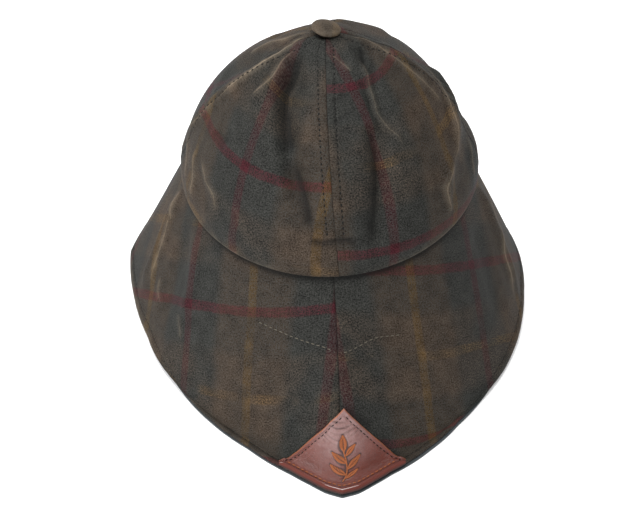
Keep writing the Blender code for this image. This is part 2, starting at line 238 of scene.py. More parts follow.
def crown_skin(angle, up):
    """The smooth outer skin in the hat's frame: up is 0 at the rim and 1 at the button."""
    turn = np.radians(angle)
    out = crown_out(up)
    puff = RIM_PUFF * np.sin(np.pi * np.minimum(up / PUFF_SHARE, 1.0))
    half_width, half_length = crown_radii(angle, out)
    height = crown_height(out, np.maximum(-np.cos(turn), 0.0)) - rim_dip(angle) * out**RIM_EASE
    return points((half_width + puff) * np.sin(turn), -(half_length + puff) * np.cos(turn), height)


# %% The brim before it is folded
def rim_direction(angle):
    """The level direction straight out of the head opening."""
    turn = np.radians(angle)
    return unit(points(np.sin(turn) / HEAD_WIDTH, -np.cos(turn) / HEAD_LENGTH, 0.0))


def rim_line(angle, height):
    """The brim's inner face where it stands inside the crown's rim."""
    turn = np.radians(angle)
    inset = CLOTH + COLLAR_CLEARANCE + CLOTH + LAYER_GAP + FACING_CLOTH
    half_width, half_length = crown_radii(angle, 1.0)
    return in_world(points(
        (half_width - inset) * np.sin(turn),
        -(half_length - inset) * np.cos(turn),
        height - rim_dip(angle),
    ))


def tailness(angle):
    """1 on the middle line of the tail, fading to 0 at the sides."""
    return np.maximum(np.cos(np.radians(angle)), 0.0) ** TAIL_EASE


def hem_line(angle):
    """The lowest line of the brim's inner face."""
    around = wrapped(angle)
    share = np.where(around < 0, read_line(HEM, abs(around), 1), read_line(HEM, abs(around), 2))
    point = rim_line(angle, 0.0) + rim_direction(angle) * (TAIL_FLARE * share)[..., None]
    point[..., 0] += TAIL_SWING * tailness(angle)
    point[..., 2] = HEM_LIFT * read_eased(HEM_WAVES, around, 1)
    return point


def brim_skin(angle, down):
    """The smooth inner face: from -1 to 0 it stands in the crown, from 0 to 1 it falls to the hem."""
    top = rim_line(angle, -COLLAR_DROP)
    collar = mix(top, rim_line(angle, COLLAR), np.maximum(-down, 0.0)[..., None])
    hem = hem_line(angle)
    run = np.linalg.norm((hem - top)[..., :2], axis=-1)
    foot = TAIL_FOOT * tailness(angle) / run
    bend = np.maximum(FOOT_BEND * foot, 1e-9)
    fall = down / (1.0 - foot)
    bent = (1.0 + bend - fall) ** 2 / (4.0 * bend)
    height = np.where(fall >= 1.0 + bend, 0.0, np.where(fall <= 1.0 - bend, 1.0 - fall, bent))
    point = mix(top, hem, down[..., None])
    point[..., 2] = mix(hem[..., 2], top[..., 2], height)
    belly = BRIM_BELLY * (1.0 - tailness(angle)) * np.sin(np.pi * down)
    point = point + rim_direction(angle) * belly[..., None]
    return np.where((down > 0)[..., None], point, collar)


def brim_length(angle):
    return np.linalg.norm(hem_line(angle) - rim_line(angle, -COLLAR_DROP), axis=-1)


# %% Normals and folds
PROBE = 0.004
FOLD_STEPS = 8
FOLD_FADE = 0.22
FOLD_END = 0.15
FOLD_REACH = 2.5
CROWN_EASE = 0.06
COLLAR_EASE = 0.12
HEM_EASE = 0.10

CROWN_FOLDS = {
    "long valley left of the back seam": ((-52, 0.84), (-29, 0.59), (-9, 0.25), -0.086, 0.150, 2.6),
    "swell between valley and back seam": ((-16, 0.74), (-9, 0.55), (-2, 0.40), 0.026, 0.100, 1.0),
    "crease right of the back seam": ((47, 0.75), (36, 0.62), (42, 0.46), -0.040, 0.085, 1.9),
    "dent under the button": ((76, 0.82), (62, 0.78), (50, 0.73), -0.020, 0.070, 1.0),
    "ridge beside the button": ((58, 0.90), (50, 0.84), (36, 0.78), 0.016, 0.050, 1.0),
    "soft valley right of the back seam": ((31, 0.60), (25, 0.38), (17, 0.10), -0.060, 0.105, 2.0),
    "shelf on the right": ((104, 0.49), (88, 0.39), (66, 0.28), 0.034, 0.075, 1.4),
    "shelf end on the right": ((66, 0.28), (56, 0.24), (54, 0.13), 0.026, 0.070, 1.4),
    "hollow under the shelf": ((122, 0.44), (104, 0.33), (92, 0.24), -0.045, 0.110, 1.0),
    "puff over the right rim": ((100, 0.14), (86, 0.16), (72, 0.13), 0.020, 0.090, 1.0),
    "ridge of the left side seam": ((-76, 0.80), (-79, 0.55), (-90, 0.20), 0.032, 0.070, 1.0),
    "ridge of the right side seam": ((94, 0.80), (86, 0.60), (83, 0.42), 0.030, 0.070, 1.0),
    "second ridge on the left": ((-68, 0.82), (-57, 0.69), (-60, 0.57), 0.026, 0.070, 1.6),
    "hollow beside the left seam": ((-84, 0.74), (-92, 0.60), (-96, 0.46), -0.026, 0.100, 1.0),
    "ridge on the front left": ((-130, 0.86), (-111, 0.68), (-112, 0.54), 0.010, 0.080, 1.0),
    "hollow on the front left": ((-150, 0.82), (-134, 0.74), (-124, 0.66), -0.030, 0.120, 1.0),
    "small dent on the left": ((-68, 0.41), (-62, 0.42), (-55, 0.44), -0.018, 0.060, 1.0),
    "upright crease over the left rim": ((-73, 0.27), (-70, 0.18), (-66, 0.07), 0.014, 0.055, 0.45),
    "second crease over the left rim": ((-60, 0.25), (-54, 0.20), (-48, 0.14), 0.012, 0.055, 1.3),
    "wrinkle across the back seam": ((-9, 0.205), (2, 0.215), (12, 0.20), -0.020, 0.036, 1.0),
    "ridge on the front right": ((168, 0.84), (146, 0.74), (128, 0.60), 0.028, 0.120, 1.0),
    "front dent": ((150, 0.72), (160, 0.52), (158, 0.34), -0.045, 0.150, 1.0),
    "front left dent": ((-150, 0.70), (-158, 0.50), (-150, 0.32), -0.036, 0.140, 1.0),
}

BRIM_FOLDS = {
    "flute under the left side": ((-82, 0.10), (-76, 0.45), (-72, 0.90), 0.040, 0.085, 1.5),
    "hollow behind the left flute": ((-66, 0.12), (-61, 0.45), (-58, 0.85), -0.034, 0.110, 1.0),
    "second flute on the left": ((-62, 0.10), (-52, 0.35), (-50, 0.62), 0.022, 0.085, 1.3),
    "flute under the right side": ((80, 0.08), (76, 0.45), (70, 0.90), 0.036, 0.085, 1.5),
    "hollow behind the right flute": ((66, 0.12), (62, 0.45), (57, 0.80), -0.030, 0.110, 1.0),
    "swell on the right of the tail": ((36, 0.45), (33, 0.62), (30, 0.80), 0.024, 0.180, 1.0),
    "dip beside the patch": ((14, 0.50), (15, 0.64), (20, 0.82), -0.020, 0.100, 1.0),
    "swell on the left of the tail": ((-28, 0.35), (-26, 0.55), (-24, 0.75), 0.020, 0.200, 1.0),
    "front fold": ((150, 0.15), (154, 0.50), (156, 0.90), 0.030, 0.110, 1.0),
    "front left fold": ((-142, 0.15), (-138, 0.50), (-134, 0.90), -0.030, 0.120, 1.0),
}


def normal_of(skin, angle, along):
    """The outward normal of a skin whose second number rises, from four points close by."""
    step = math.degrees(PROBE / HEAD_LENGTH)
    across = skin(angle + step, along) - skin(angle - step, along)
    upward = skin(angle, along + PROBE) - skin(angle, along - PROBE)
    return unit(np.cross(across, upward))


def fold_paths(folds, skin, size):
    """Each fold as the points of its crease on the skin, with its height, half width and sharpness."""
    share = np.linspace(0.0, 1.0, FOLD_STEPS + 1)
    paths = []
    for first, middle, last, height, width, sharp in folds.values():
        place = [
            (1 - share) ** 2 * first[axis]
            + 2 * share * (1 - share) * (2 * middle[axis] - (first[axis] + last[axis]) / 2)
            + share**2 * last[axis]
            for axis in (0, 1)
        ]
        paths.append((skin(place[0], place[1]), height * size, width * size, sharp))
    return paths


def nearest_on(path, place, normal):
    """Each point's distance to a path, the side of it that it lies on, and how far along the nearest is."""
    lines = path[1:] - path[:-1]
    offset = place[:, None, :] - path[None, :-1, :]
    along = np.clip((offset * lines).sum(-1) / (lines**2).sum(-1), 0.0, 1.0)
    offset -= lines * along[..., None]
    distance = np.linalg.norm(offset, axis=-1)
    rows = np.arange(len(place))
    nearest = distance.argmin(axis=1)
    side = (np.cross(lines[nearest], normal) * offset[rows, nearest]).sum(-1)
    share = (nearest + along[rows, nearest]) / len(lines)
    return distance[rows, nearest], np.where(side > 0, 1.0, -1.0), share


def fold_height(place, normal, paths):
    """How far all folds together move each point of a skin along its normal."""
    total = np.zeros(len(place))
    for path, height, width, sharp in paths:
        distance, side, share = nearest_on(path, place, normal)
        fade = smooth(share / FOLD_FADE) * smooth((1.0 - share) / FOLD_FADE)
        half = np.where(side > 0, width / sharp, width)
        rise = height * mix(FOLD_END, 1.0, fade) * bell(distance, half)
        total += np.where(distance < FOLD_REACH * width, rise, 0.0)
    return total


# %% How the flat cloth lies on the crown and the brim
HALF_ROUND = np.linspace(0.0, 180.0, 361)


def ring_length(angle):
    """The distance round the crown's rim from the back to an angle."""
    angles = np.linspace(-360.0, 360.0, 721)
    turn = np.radians(angles)
    pace = np.hypot(HEAD_WIDTH / 2 * np.cos(turn), HEAD_LENGTH / 2 * np.sin(turn))
    length = np.cumsum(pace) * math.radians(1.0)
    return np.interp(angle, angles, length - length[360])


def panel_edges(start, end, up):
    """The angles of a panel's two seams at a height, and the cloth between them."""
    turn = 360.0 if CROWN_SEAMS[end][0] < CROWN_SEAMS[start][0] else 0.0
    low, high = mix(*CROWN_SEAMS[start], up), mix(*CROWN_SEAMS[end], up) + turn
    return low, high, crown_out(up) * (ring_length(high) - ring_length(low))


def meridian(angle):
    """Heights up the crown at one angle, and how far up the cloth each is."""
    levels = np.linspace(0.0, 1.0, 181)
    return levels, run_along(crown_skin(np.full_like(levels, angle), levels))


def crown_cloth(start, end, angle, up):
    """Where a point of a crown panel lies on its flat cloth: across from the panel's middle line and up
    from the rim, in metres."""
    low, high, _ = panel_edges(start, end, up)
    across = crown_out(up) * (ring_length(angle) - ring_length((low + high) / 2))
    return across, np.interp(up, *meridian((low.mean() + high.mean()) / 2))


def unrolled(side):
    """A brim half laid flat: for angles away from the back seam, the rim's and the hem's flat points."""
    angles = HALF_ROUND * side
    rim = rim_line(angles, -COLLAR_DROP)
    hem = hem_line(angles)
    flat_rim = [np.array((0.0, 0.0))]
    flat_hem = [np.array((0.0, -np.linalg.norm(hem[0] - rim[0])))]
    for last_rim, last_hem, new_rim, new_hem in zip(rim, hem, rim[1:], hem[1:]):
        spans = np.linalg.norm(new_hem - last_rim), np.linalg.norm(new_hem - last_hem)
        flat_hem.append(meeting(flat_rim[-1], flat_hem[-1], *spans, side))
        spans = np.linalg.norm(new_rim - last_rim), np.linalg.norm(new_hem - new_rim)
        flat_rim.append(meeting(flat_rim[-1], flat_hem[-1], *spans, side))
    return abs(angles), np.array(flat_rim), np.array(flat_hem)


def meeting(first, second, from_first, from_second, side):
    """The flat point at these distances from two others, on the side that the cloth runs to."""
    gap = second - first
    length = np.linalg.norm(gap)
    along = (from_first**2 - from_second**2 + length**2) / (2 * length)
    away = math.sqrt(max(from_first**2 - along**2, 0.0))
    direction = gap / length
    square = np.array((-direction[1], direction[0])) * side
    return first + direction * along + square * away


def brim_cloth(flat, around, down):
    """Where a point of a brim half lies on its flat cloth, in metres from the top of the back seam."""
    angles, rim, hem = flat
    return [mix(np.interp(around, angles, rim[:, axis]), np.interp(around, angles, hem[:, axis]), down)
            for axis in (0, 1)]


# %% [markdown]
# The CAD folds are broad. The real cloth also has narrow creases, where wax has cracked and rubbed to
# a pale line along the ridge. Each one here is a line of points on the crown or the brim. It lifts or
# sinks the skin by a fraction of a millimetre, and it is kept as a distance and a strength on every
# vertex, because a line drawn from a distance stays thin and clean between the vertices.

# %% The narrow creases: points, rise, half width, sharpness and wear
MM = 0.001

CROWN_CREASES = {
    "left seam ridge, upper": (
        [(-84.5, 0.907), (-76.5, 0.839), (-73.5, 0.738), (-75.5, 0.608), (-78.5, 0.478)],
        1.3, 3.0, 1.4, 0.8),
    "left seam ridge, lower": ([(-78.5, 0.478), (-82.5, 0.333), (-88, 0.232)], 0.7, 3.0, 1.0, 0.4),
    "far ridge, front left": (
        [(-103.5, 0.926), (-100, 0.82), (-106, 0.733), (-103.5, 0.671), (-104, 0.632)], 0.8, 3.0, 1.2, 0.5),
    "second ridge, left": (
        [(-66.5, 0.854), (-59.5, 0.782), (-54, 0.714), (-55.5, 0.646), (-58, 0.603)], 1.3, 3.0, 1.5, 0.45),
    "right seam ridge": (
        [(84, 0.892), (90, 0.825), (83.5, 0.738), (80, 0.627), (78, 0.482), (78, 0.415)],
        0.8, 3.0, 1.0, 0.36),
    "shelf ridge": (
        [(100, 0.521), (89, 0.468), (82, 0.405), (77, 0.362), (71.5, 0.314), (67, 0.275), (62.5, 0.265)],
        1.0, 3.0, 1.6, 0.5),
    "shelf ridge, end": (
        [(62.5, 0.265), (56, 0.236), (52, 0.203), (52, 0.145), (52, 0.096)], 0.9, 3.0, 1.4, 0.5),
    "puff ridge": ([(81, 0.232), (74.5, 0.154), (72, 0.092)], 0.5, 2.6, 1.0, 0.3),
    "crisp crease on the right": (
        [(53, 0.815), (49, 0.777), (43, 0.719), (38.5, 0.646), (36.5, 0.598), (40.5, 0.497), (40.5, 0.444)],
        1.7, 2.4, 1.0, 0.18),
    "faint crease by the button": ([(11.5, 0.878), (23, 0.835), (32.5, 0.782)], 0.5, 2.4, 1.2, 0.25),
    "dent under the button, edge": ([(72.5, 0.84), (64.5, 0.806), (47, 0.780)], -1.1, 2.0, 1.0, 0.0),
    "dent on the left, edge": ([(-67, 0.41), (-60, 0.405), (-54, 0.425)], -0.6, 2.6, 1.0, 0.0),
    "valley, left of the back": (
        [(-55.5, 0.888), (-45.5, 0.806), (-42, 0.709), (-30, 0.617), (-23.5, 0.54), (-19.5, 0.492)],
        -1.6, 3.4, 1.0, 0.0),
    "valley, left of the back, low": (
        [(-19.5, 0.492), (-13, 0.396), (-8, 0.294), (-7, 0.217)], -1.5, 3.0, 1.0, 0.0),
    "upright crease over the left rim": (
        [(-90, 0.207), (-82, 0.183), (-76.5, 0.14), (-72.5, 0.116)], 0.5, 2.4, 1.2, 0.40),
    "next upright crease": ([(-72.5, 0.261), (-67.5, 0.178), (-65, 0.087)], 0.6, 2.4, 1.3, 0.45),
    "third upright crease": (
        [(-68, 0.275), (-58.5, 0.232), (-51, 0.203), (-48.5, 0.15)], 0.6, 2.6, 1.3, 0.35),
    "wrinkle where the rows end": (
        [(-9, 0.182), (-2, 0.174), (5, 0.183), (13, 0.164)], -1.7, 1.9, 1.0, 0.0),
    "pucker, upper": ([(4, 0.690), (12, 0.702), (19, 0.725)], -0.7, 1.5, 1.0, 0.0),
    "pucker, middle": ([(4, 0.612), (11, 0.63), (18, 0.652)], -0.8, 1.5, 1.0, 0.0),
    "pucker, lower": ([(4, 0.568), (11, 0.58), (16, 0.592)], -0.6, 1.5, 1.0, 0.0),
    "soft valley on the right": (
        [(29, 0.555), (24.5, 0.41), (19, 0.265), (15.5, 0.111)], -0.9, 5.2, 1.0, 0.0),
}

BRIM_CREASES = {
    "left ridge, top": ([(-81.5, 0.093), (-79, 0.194), (-75, 0.27)], 0.6, 2.8, 1.3, 0.55),
    "left ridge": ([(-77, 0.244), (-74, 0.37), (-71.5, 0.547), (-70, 0.706)], 0.6, 2.8, 1.3, 0.45),
    "left ridge by the hem": ([(-66.5, 0.597), (-65, 0.673), (-62, 0.731)], 0.5, 2.4, 1.3, 0.35),
    "left ridge of the tail": ([(-51.5, 0.597), (-49, 0.65), (-47, 0.706)], 0.4, 2.4, 1.3, 0.25),
    "right ridge": (
        [(94, 0.27), (86, 0.328), (78, 0.44), (73, 0.538), (70.5, 0.698), (67, 0.832)], 0.6, 2.8, 1.3, 0.6),
    "left edge": ([(-90, 0.955), (-78, 0.965), (-66, 0.975), (-52, 0.98)], 0.1, 2.5, 1.0, 0.35),
    "right edge": ([(90, 0.955), (78, 0.965), (66, 0.975), (50, 0.98)], 0.1, 2.5, 1.0, 0.40),
    "tack line, left": (
        [(-24, 0.278), (-17.5, 0.278), (-10, 0.286), (-3.5, 0.295), (-0.5, 0.312)], -0.25, 1.5, 1.0, 0.0),
    "tack line, right": (
        [(1, 0.32), (4.5, 0.312), (10.5, 0.295), (14.5, 0.303), (20, 0.328)], -0.25, 1.5, 1.0, 0.0),
    "dimple beside the patch": ([(2.5, 0.538), (5, 0.60), (8, 0.656)], -0.8, 3.4, 1.0, 0.0),
}


# %% How a crease lifts the cloth, and where its line runs
CREASE_STEP = 6
CREASE_FADE = 0.2
WEAR_END = 0.15
# The painted shade in a sunk crease's hollow: the crease depth at which it is full, and its width on each
# side
HOLLOW_DEPTH = 1.4 * MM
HOLLOW_WIDE = 1.6
HOLLOW_NARROW = 0.45
WEAR_REACH = 5.0 * MM


def crease_paths(creases, skin):
    """Each crease as points on a skin, with its rise, half width, sharpness and wear."""
    paths = []
    for line, rise, width, sharp, wear in creases.values():
        rows = np.array(line, float)
        place = np.linspace(0.0, len(rows) - 1.0, (len(rows) - 1) * CREASE_STEP + 1)
        angle = rounded_line(rows[:, 0], place)
        along = rounded_line(rows[:, 1], place)
        paths.append((skin(angle, along), rise * MM, width * MM, sharp, wear))
    return paths


def rounded_line(values, place):
    """Values read between rows with a curve through the rows, and not with straight steps."""
    slope = np.gradient(values) if len(values) > 2 else np.full(len(values), values[1] - values[0])
    row = np.minimum(place.astype(int), len(values) - 2)
    share = place - row
    start, end = values[row], values[row + 1]
    lean = share * (1 - share)
    curve = lean * ((1 - share) * (slope[row] - (end - start)) + share * ((end - start) - slope[row + 1]))
    return mix(start, end, share) + curve


def crease_relief(place, normal, paths):
    """How far the creases lift each point, the signed distance and strength of the nearest worn line, and
    how much painted shade it gets in the hollow of a sunk crease."""
    lift = np.zeros(len(place))
    distance = np.full(len(place), 1.0)
    strength = np.zeros(len(place))
    hollow = np.zeros(len(place))
    for path, rise, width, sharp, wear in paths:
        near = np.linalg.norm(place - path.mean(axis=0), axis=-1)
        reach = np.linalg.norm(path - path.mean(axis=0), axis=-1).max() + 5 * width
        chosen = np.flatnonzero(near < reach)
        if not len(chosen):
            continue
        away, side, share = nearest_on(path, place[chosen], normal[chosen])
        fade = smooth(share / CREASE_FADE) * smooth((1.0 - share) / CREASE_FADE)
        ends = (share <= 0.0) | (share >= 1.0)
        half = np.where(side > 0, width / sharp, width)
        lift[chosen] += rise * fade * bell(away, half)
        near_line = wear * mix(WEAR_END, 1.0, fade) * np.clip(1.0 - away / WEAR_REACH, 0.0, 1.0) * ~ends
        better = near_line > strength[chosen]
        strength[chosen] = np.where(better, near_line, strength[chosen])
        distance[chosen] = np.where(better, away * side, distance[chosen])
        # A sunk crease gets painted shade in its hollow, fuller the deeper it sinks
        if rise < 0:
            depth = min(-rise / HOLLOW_DEPTH, 1.0) * fade
            shade = depth * bell(away, np.where(side > 0, HOLLOW_WIDE * width, HOLLOW_NARROW * width))
            hollow[chosen] = np.maximum(hollow[chosen], shade)
    return lift, distance, strength, hollow


print(len(CROWN_FOLDS) + len(CROWN_CREASES), "folds and creases on the crown,",
      len(BRIM_FOLDS) + len(BRIM_CREASES), "on the brim")

# %% [markdown]
# A wall of cloth could be one sheet with a Solidify modifier, but then its edge is square and no
# thicker at a seam. Here two grids are laid on the skins and bridged, and the rows near an edge are
# narrow steps, so that the edge is round and the sewn grooves beside a seam have faces of their own.


# %% Steps across a wall, narrow at its edges
SEAM_STEPS = np.array((0.0, 0.2, 0.5, 0.9, 1.4, 2.1, 3.0, 3.9, 4.5, 4.85, 5.15, 5.5, 6.1, 7.0, 8.2)) * MM
RIM_STEPS = np.array((0.0, 0.15, 0.4, 0.8, 1.3, 2.0, 2.9)) * MM
HEM_STEPS = np.array((0.0, 0.15, 0.4, 0.8, 1.4, 2.2, 3.2, 4.3, 5.2, 5.7, 6.0, 6.3, 6.8, 7.6, 8.8)) * MM
PLAIN_STEPS = np.array((0.0, 0.15, 0.4, 0.7)) * MM
BAND_SHARE = 0.42
EDGE_CUT = 0.94


def narrowing(length, band):
    """How much a band along an edge shrinks, so that two of them fit on a short side."""
    return np.minimum(1.0, BAND_SHARE * length / band)


def stepped(share, count, length, first, last):
    """The distance of each row along a side: narrow steps at both ends and even ones between."""
    row = np.rint(share * count)
    scale = narrowing(length, max(first[-1], last[-1]))
    start, end = len(first) - 1, count - (len(last) - 1)
    low = scale * np.interp(row, np.arange(len(first)), first)
    high = length - scale * np.interp(count - row, np.arange(len(last)), last)
    even = mix(scale * first[-1], length - scale * last[-1], (row - start) / (end - start))
    return np.where(row < start, low, np.where(row > end, high, even))


def rounding(distance, radius):
    """How much of the wall's thickness is left this near to its round edge. A quarter is left on the edge
    itself, because two edges in one place can't be bridged rightly."""
    inside = 1.0 - np.clip(distance / radius, 0.0, 1.0)
    return np.sqrt(1.0 - EDGE_CUT * inside**2)


# %% A closed wall of cloth with its own attributes
def cloth_wall(name, columns, rows, place):
    """Two grids laid where place() puts them and bridged at their edges. place() also gives the cloth's
    own coordinates and any values that the finish reads."""
    shape = bmesh.new()
    for _ in range(2):
        bmesh.ops.create_grid(shape, x_segments=columns, y_segments=rows, size=1.0)
    flat = (np.array([vertex.co for vertex in shape.verts]) + 1.0) / 2.0
    side = np.repeat((0.0, 1.0), len(flat) // 2)
    spots, cloth, values = place(flat[:, 0], flat[:, 1], side)
    for vertex, spot in zip(shape.verts, spots):
        vertex.co = spot
    bmesh.ops.bridge_loops(shape, edges=[edge for edge in shape.edges if edge.is_boundary])
    bmesh.ops.recalc_face_normals(shape, faces=shape.faces)
    made = finished(name, shape)
    lay_cloth(made.data, cloth, values)
    return made


def finished(name, shape):
    """A smooth object at the origin from a bmesh, which is freed."""
    mesh = bpy.data.meshes.new(name)
    shape.to_mesh(mesh)
    shape.free()
    mesh.shade_smooth()
    made = bpy.data.objects.new(name, mesh)
    bpy.context.scene.collection.objects.link(made)
    return made


def lay_cloth(mesh, cloth, values):
    """Writes each vertex's place on the flat cloth into a UV map, and the values for the finish."""
    corner = np.empty(len(mesh.loops), np.int32)
    mesh.loops.foreach_get("vertex_index", corner)
    layer = mesh.uv_layers.new(name="cloth")
    layer.uv.foreach_set("vector", cloth[corner].astype(np.float32).ravel())
    for key, numbers in values.items():
        mesh.attributes.new(key, "FLOAT", "POINT").data.foreach_set("value", numbers.astype(np.float32))


def report(piece):
    mesh = piece.data
    faces = sum(len(face.vertices) - 2 for face in mesh.polygons)
    size = ", ".join(f"{1000 * side:.0f}" for side in piece.dimensions)
    longest = max((mesh.vertices[a].co - mesh.vertices[b].co).length for a, b in mesh.edge_keys)
    print(f"{piece.name}: {faces} triangles, {size} mm, longest edge {1000 * longest:.1f} mm")


# %% [markdown]
# Shader maths reads best as plain sums. One small class holds a node's output and turns Python's own
# signs into Math nodes, and one method makes every other node, from its type, its settings and what
# goes into its sockets.


# %% A small kit for finishes
class Value:
    """An output socket that Python's signs work on."""

    def __init__(self, paint, socket):
        self.paint = paint
        self.socket = socket

    def maths(self, operation, *numbers):
        return self.paint.node("ShaderNodeMath", {"operation": operation}, dict(enumerate(numbers)))

    def __add__(self, other):
        return self.maths("ADD", self, other)

    def __sub__(self, other):
        return self.maths("SUBTRACT", self, other)

    def __mul__(self, other):
        return self.maths("MULTIPLY", self, other)

    def __truediv__(self, other):
        return self.maths("DIVIDE", self, other)

    def __rsub__(self, other):
        return self.maths("SUBTRACT", other, self)

    def __abs__(self):
        return self.maths("ABSOLUTE", self)

    __radd__ = __add__
    __rmul__ = __mul__

    def part(self):
        """What is left over a whole number, for a pattern that repeats."""
        return self.maths("FRACT", self)

    def at_most(self, other):
        return self.maths("MINIMUM", self, other)

    def at_least(self, other):
        return self.maths("MAXIMUM", self, other)

    def over(self, start, end):
        """0 at start and 1 at end, eased and held outside."""
        sockets = {"Value": self, "From Min": start, "From Max": end}
        return self.paint.node("ShaderNodeMapRange", {"interpolation_type": "SMOOTHSTEP"}, sockets)


class Paint:
    """A material under construction."""

    def __init__(self, name):
        self.material = bpy.data.materials.new(name)
        self.material.use_nodes = True
        self.tree = self.material.node_tree
        self.tree.nodes.clear()

    def node(self, kind, settings=None, sockets=None, output=0):
        made = self.tree.nodes.new(kind)
        for name, setting in (settings or {}).items():
            setattr(made, name, setting)
        for name, value in (sockets or {}).items():
            if isinstance(value, Value):
                self.tree.links.new(value.socket, made.inputs[name])
            else:
                made.inputs[name].default_value = value
        return Value(self, made.outputs[output]) if made.outputs else None

    def cloth(self):
        """The place on the flat cloth."""
        return self.node("ShaderNodeUVMap", {"uv_map": "cloth"})

    def axis(self, place, number):
        return self.node("ShaderNodeSeparateXYZ", {}, {"Vector": place}, output=number)

    def noise(self, place, scale, detail=2.0, roughness=0.5):
        return self.node("ShaderNodeTexNoise", {}, {
            "Vector": place, "Scale": scale, "Detail": detail, "Roughness": roughness})

    def mixed(self, share, first, second, blend="MIX"):
        return self.node("ShaderNodeMix", {"data_type": "RGBA", "blend_type": blend}, {
            0: share, 6: first, 7: second}, output=2)

    def attribute(self, name):
        return self.node("ShaderNodeAttribute", {"attribute_name": name}, output=2)

    def bump(self, strength, distance, height, under=None):
        sockets = {"Strength": strength, "Distance": distance, "Height": height}
        if under:
            sockets["Normal"] = under
        return self.node("ShaderNodeBump", {}, sockets)

    def finish(self, **sockets):
        """Ends the material in a Principled shader with these sockets; underscores stand for spaces."""
        named = {name.replace("_", " "): value for name, value in sockets.items()}
        shader = self.node("ShaderNodeBsdfPrincipled", {}, named)
        self.node("ShaderNodeOutputMaterial", {}, {"Surface": shader})
        return self.material


def gray(level):
    return (level, level, level, 1.0)


# %% [markdown]
# The cloth is a tartan of dark yarns, charcoal and brown, with a burgundy and an ochre line in each
# repeat, the same along and across. Real tartan gets its mixed squares from two sets of yarns passing
# over each other, so the finish does that too: one row of colours for each direction, taken in turn by
# the twill. It could be painted as squares in object space, but then the lines would not follow the
# cut of each panel. The wax gives it a low shine, and its cracks are the pale lines on the ridges.

# %% The tartan's yarns, and where they lie in one repeat
TARTAN = 0.094
TWILL = 0.0011
CHARCOAL = (0.0236, 0.0240, 0.0218)
BROWN = (0.0510, 0.0358, 0.0250)
BURGUNDY = (0.0400, 0.0084, 0.0115)
OCHRE = (0.0980, 0.0560, 0.0170)
WORN = (0.290, 0.230, 0.165)
# Near black, for the darker line along each seam and for the painted shade in hollows and on the brim under
# the crown's rim
SEAM_LINE_AND_SHADE = (0.006, 0.006, 0.006, 1.0)


def yarn_row(paint, place, brown, ochre, burgundy):
    """The colour of the yarns that run one way: a brown band in charcoal, an ochre line in the middle of
    the brown and a burgundy one in the middle of the charcoal, as strong as they show there."""
    off_ochre = abs((place / TARTAN).part() - 0.5)
    color = paint.mixed((1.0 - off_ochre.over(0.205, 0.290)) * brown, (*CHARCOAL, 1.0), (*BROWN, 1.0))
    color = paint.mixed((1.0 - off_ochre.over(0.020, 0.034)) * ochre, color, (*OCHRE, 1.0))
    return paint.mixed(off_ochre.over(0.464, 0.478) * burgundy, color, (*BURGUNDY, 1.0))


# %% Waxed cotton
def waxed_cotton():
    paint = Paint("waxed_tartan")
    cloth = paint.cloth()
    grain = paint.noise(cloth, 1250.0, 3.0, 0.7)
    blotch = paint.noise(cloth, 130.0, 3.0, 0.6)
    patchy = paint.noise(cloth, 34.0, 2.0)
    warp = paint.axis(cloth, 0) + (grain - 0.5) * 0.0026
    weft = paint.axis(cloth, 1) + (blotch - 0.5) * 0.0022
    warp_color = yarn_row(paint, warp, 1.0, patchy.over(0.26, 0.54) * 0.85, patchy.over(0.18, 0.50) * 0.95)
    brown, ochre = patchy.over(0.30, 0.62) * 0.66, patchy.over(0.38, 0.66) * 0.55
    weft_color = yarn_row(paint, weft, brown, ochre, patchy.over(0.12, 0.42))
    twill = abs(((warp + weft) / TWILL).part() - 0.5) * 2.0
    color = paint.mixed((twill * 0.4 + grain * 2.4 - 0.9).over(0.1, 0.9), warp_color, weft_color)
    speckle = ((grain - 0.5) * 5.8 + (blotch - 0.5) * 1.3 + 1.0).at_least(0.15)
    color = paint.mixed(1.0, color, paint.node("ShaderNodeCombineColor", {}, {
        "Red": speckle, "Green": speckle, "Blue": speckle}), "MULTIPLY")
    distance = abs(paint.attribute("wear_distance"))
    strength = paint.attribute("wear_strength")
    line = (1.0 - distance.over(0.00005, 0.00055)) * strength * grain * 0.85
    halo = (1.0 - distance.over(0.0, 0.0050)) * strength * blotch * 0.55
    color = paint.mixed((line + halo).at_most(1.0), color, (*WORN, 1.0))
    # A darker line along each seam, and painted shade in the hollows of sunk creases and on the brim just
    # under the crown's rim, both mixed towards near black
    ditch = 1.0 - paint.attribute("seam_distance").over(0.0001, 0.0006)
    dark = (ditch * 0.30).at_least(paint.attribute("hollow") * 0.72)
    color = paint.mixed(dark, color, SEAM_LINE_AND_SHADE)
    fine = paint.bump(0.55, 0.0004, twill * 0.3 + grain * 1.6 + blotch * 0.9)
    crumple = paint.bump(0.5, 0.0022, paint.noise(cloth, 55.0, 4.0, 0.55), fine)
    return paint.finish(
        Base_Color=color, Roughness=blotch * 0.18 + 0.58, Specular_IOR_Level=0.08, Normal=crumple)


# %% [markdown]
# The other finishes are smaller: the plain dark cotton of the facing, brown-red leather with a fine
# grain and a tan cut edge, and threads.


# %% Facing cotton and threads
def facing_cotton():
    paint = Paint("facing_twill")
    cloth = paint.cloth()
    grain = paint.noise(cloth, 1600.0, 2.0)
    blotch = paint.noise(cloth, 200.0, 2.0)
    color = paint.mixed(grain * 0.8 + blotch * 0.3, (0.026, 0.030, 0.032, 1.0), (0.078, 0.090, 0.096, 1.0))
    return paint.finish(
        Base_Color=color, Roughness=grain * 0.1 + 0.72, Specular_IOR_Level=0.25,
        Normal=paint.bump(0.5, 0.0003, grain))


def thread(name, dark, light):
    paint = Paint(name)
    place = paint.node("ShaderNodeTexCoord", output=3)
    fibre = paint.noise(place, 2600.0, 2.0)
    color = paint.mixed(fibre, (*dark, 1.0), (*light, 1.0))
    return paint.finish(
        Base_Color=color, Roughness=fibre * 0.2 + 0.6, Specular_IOR_Level=0.18,
        Normal=paint.bump(0.6, 0.0001, fibre))


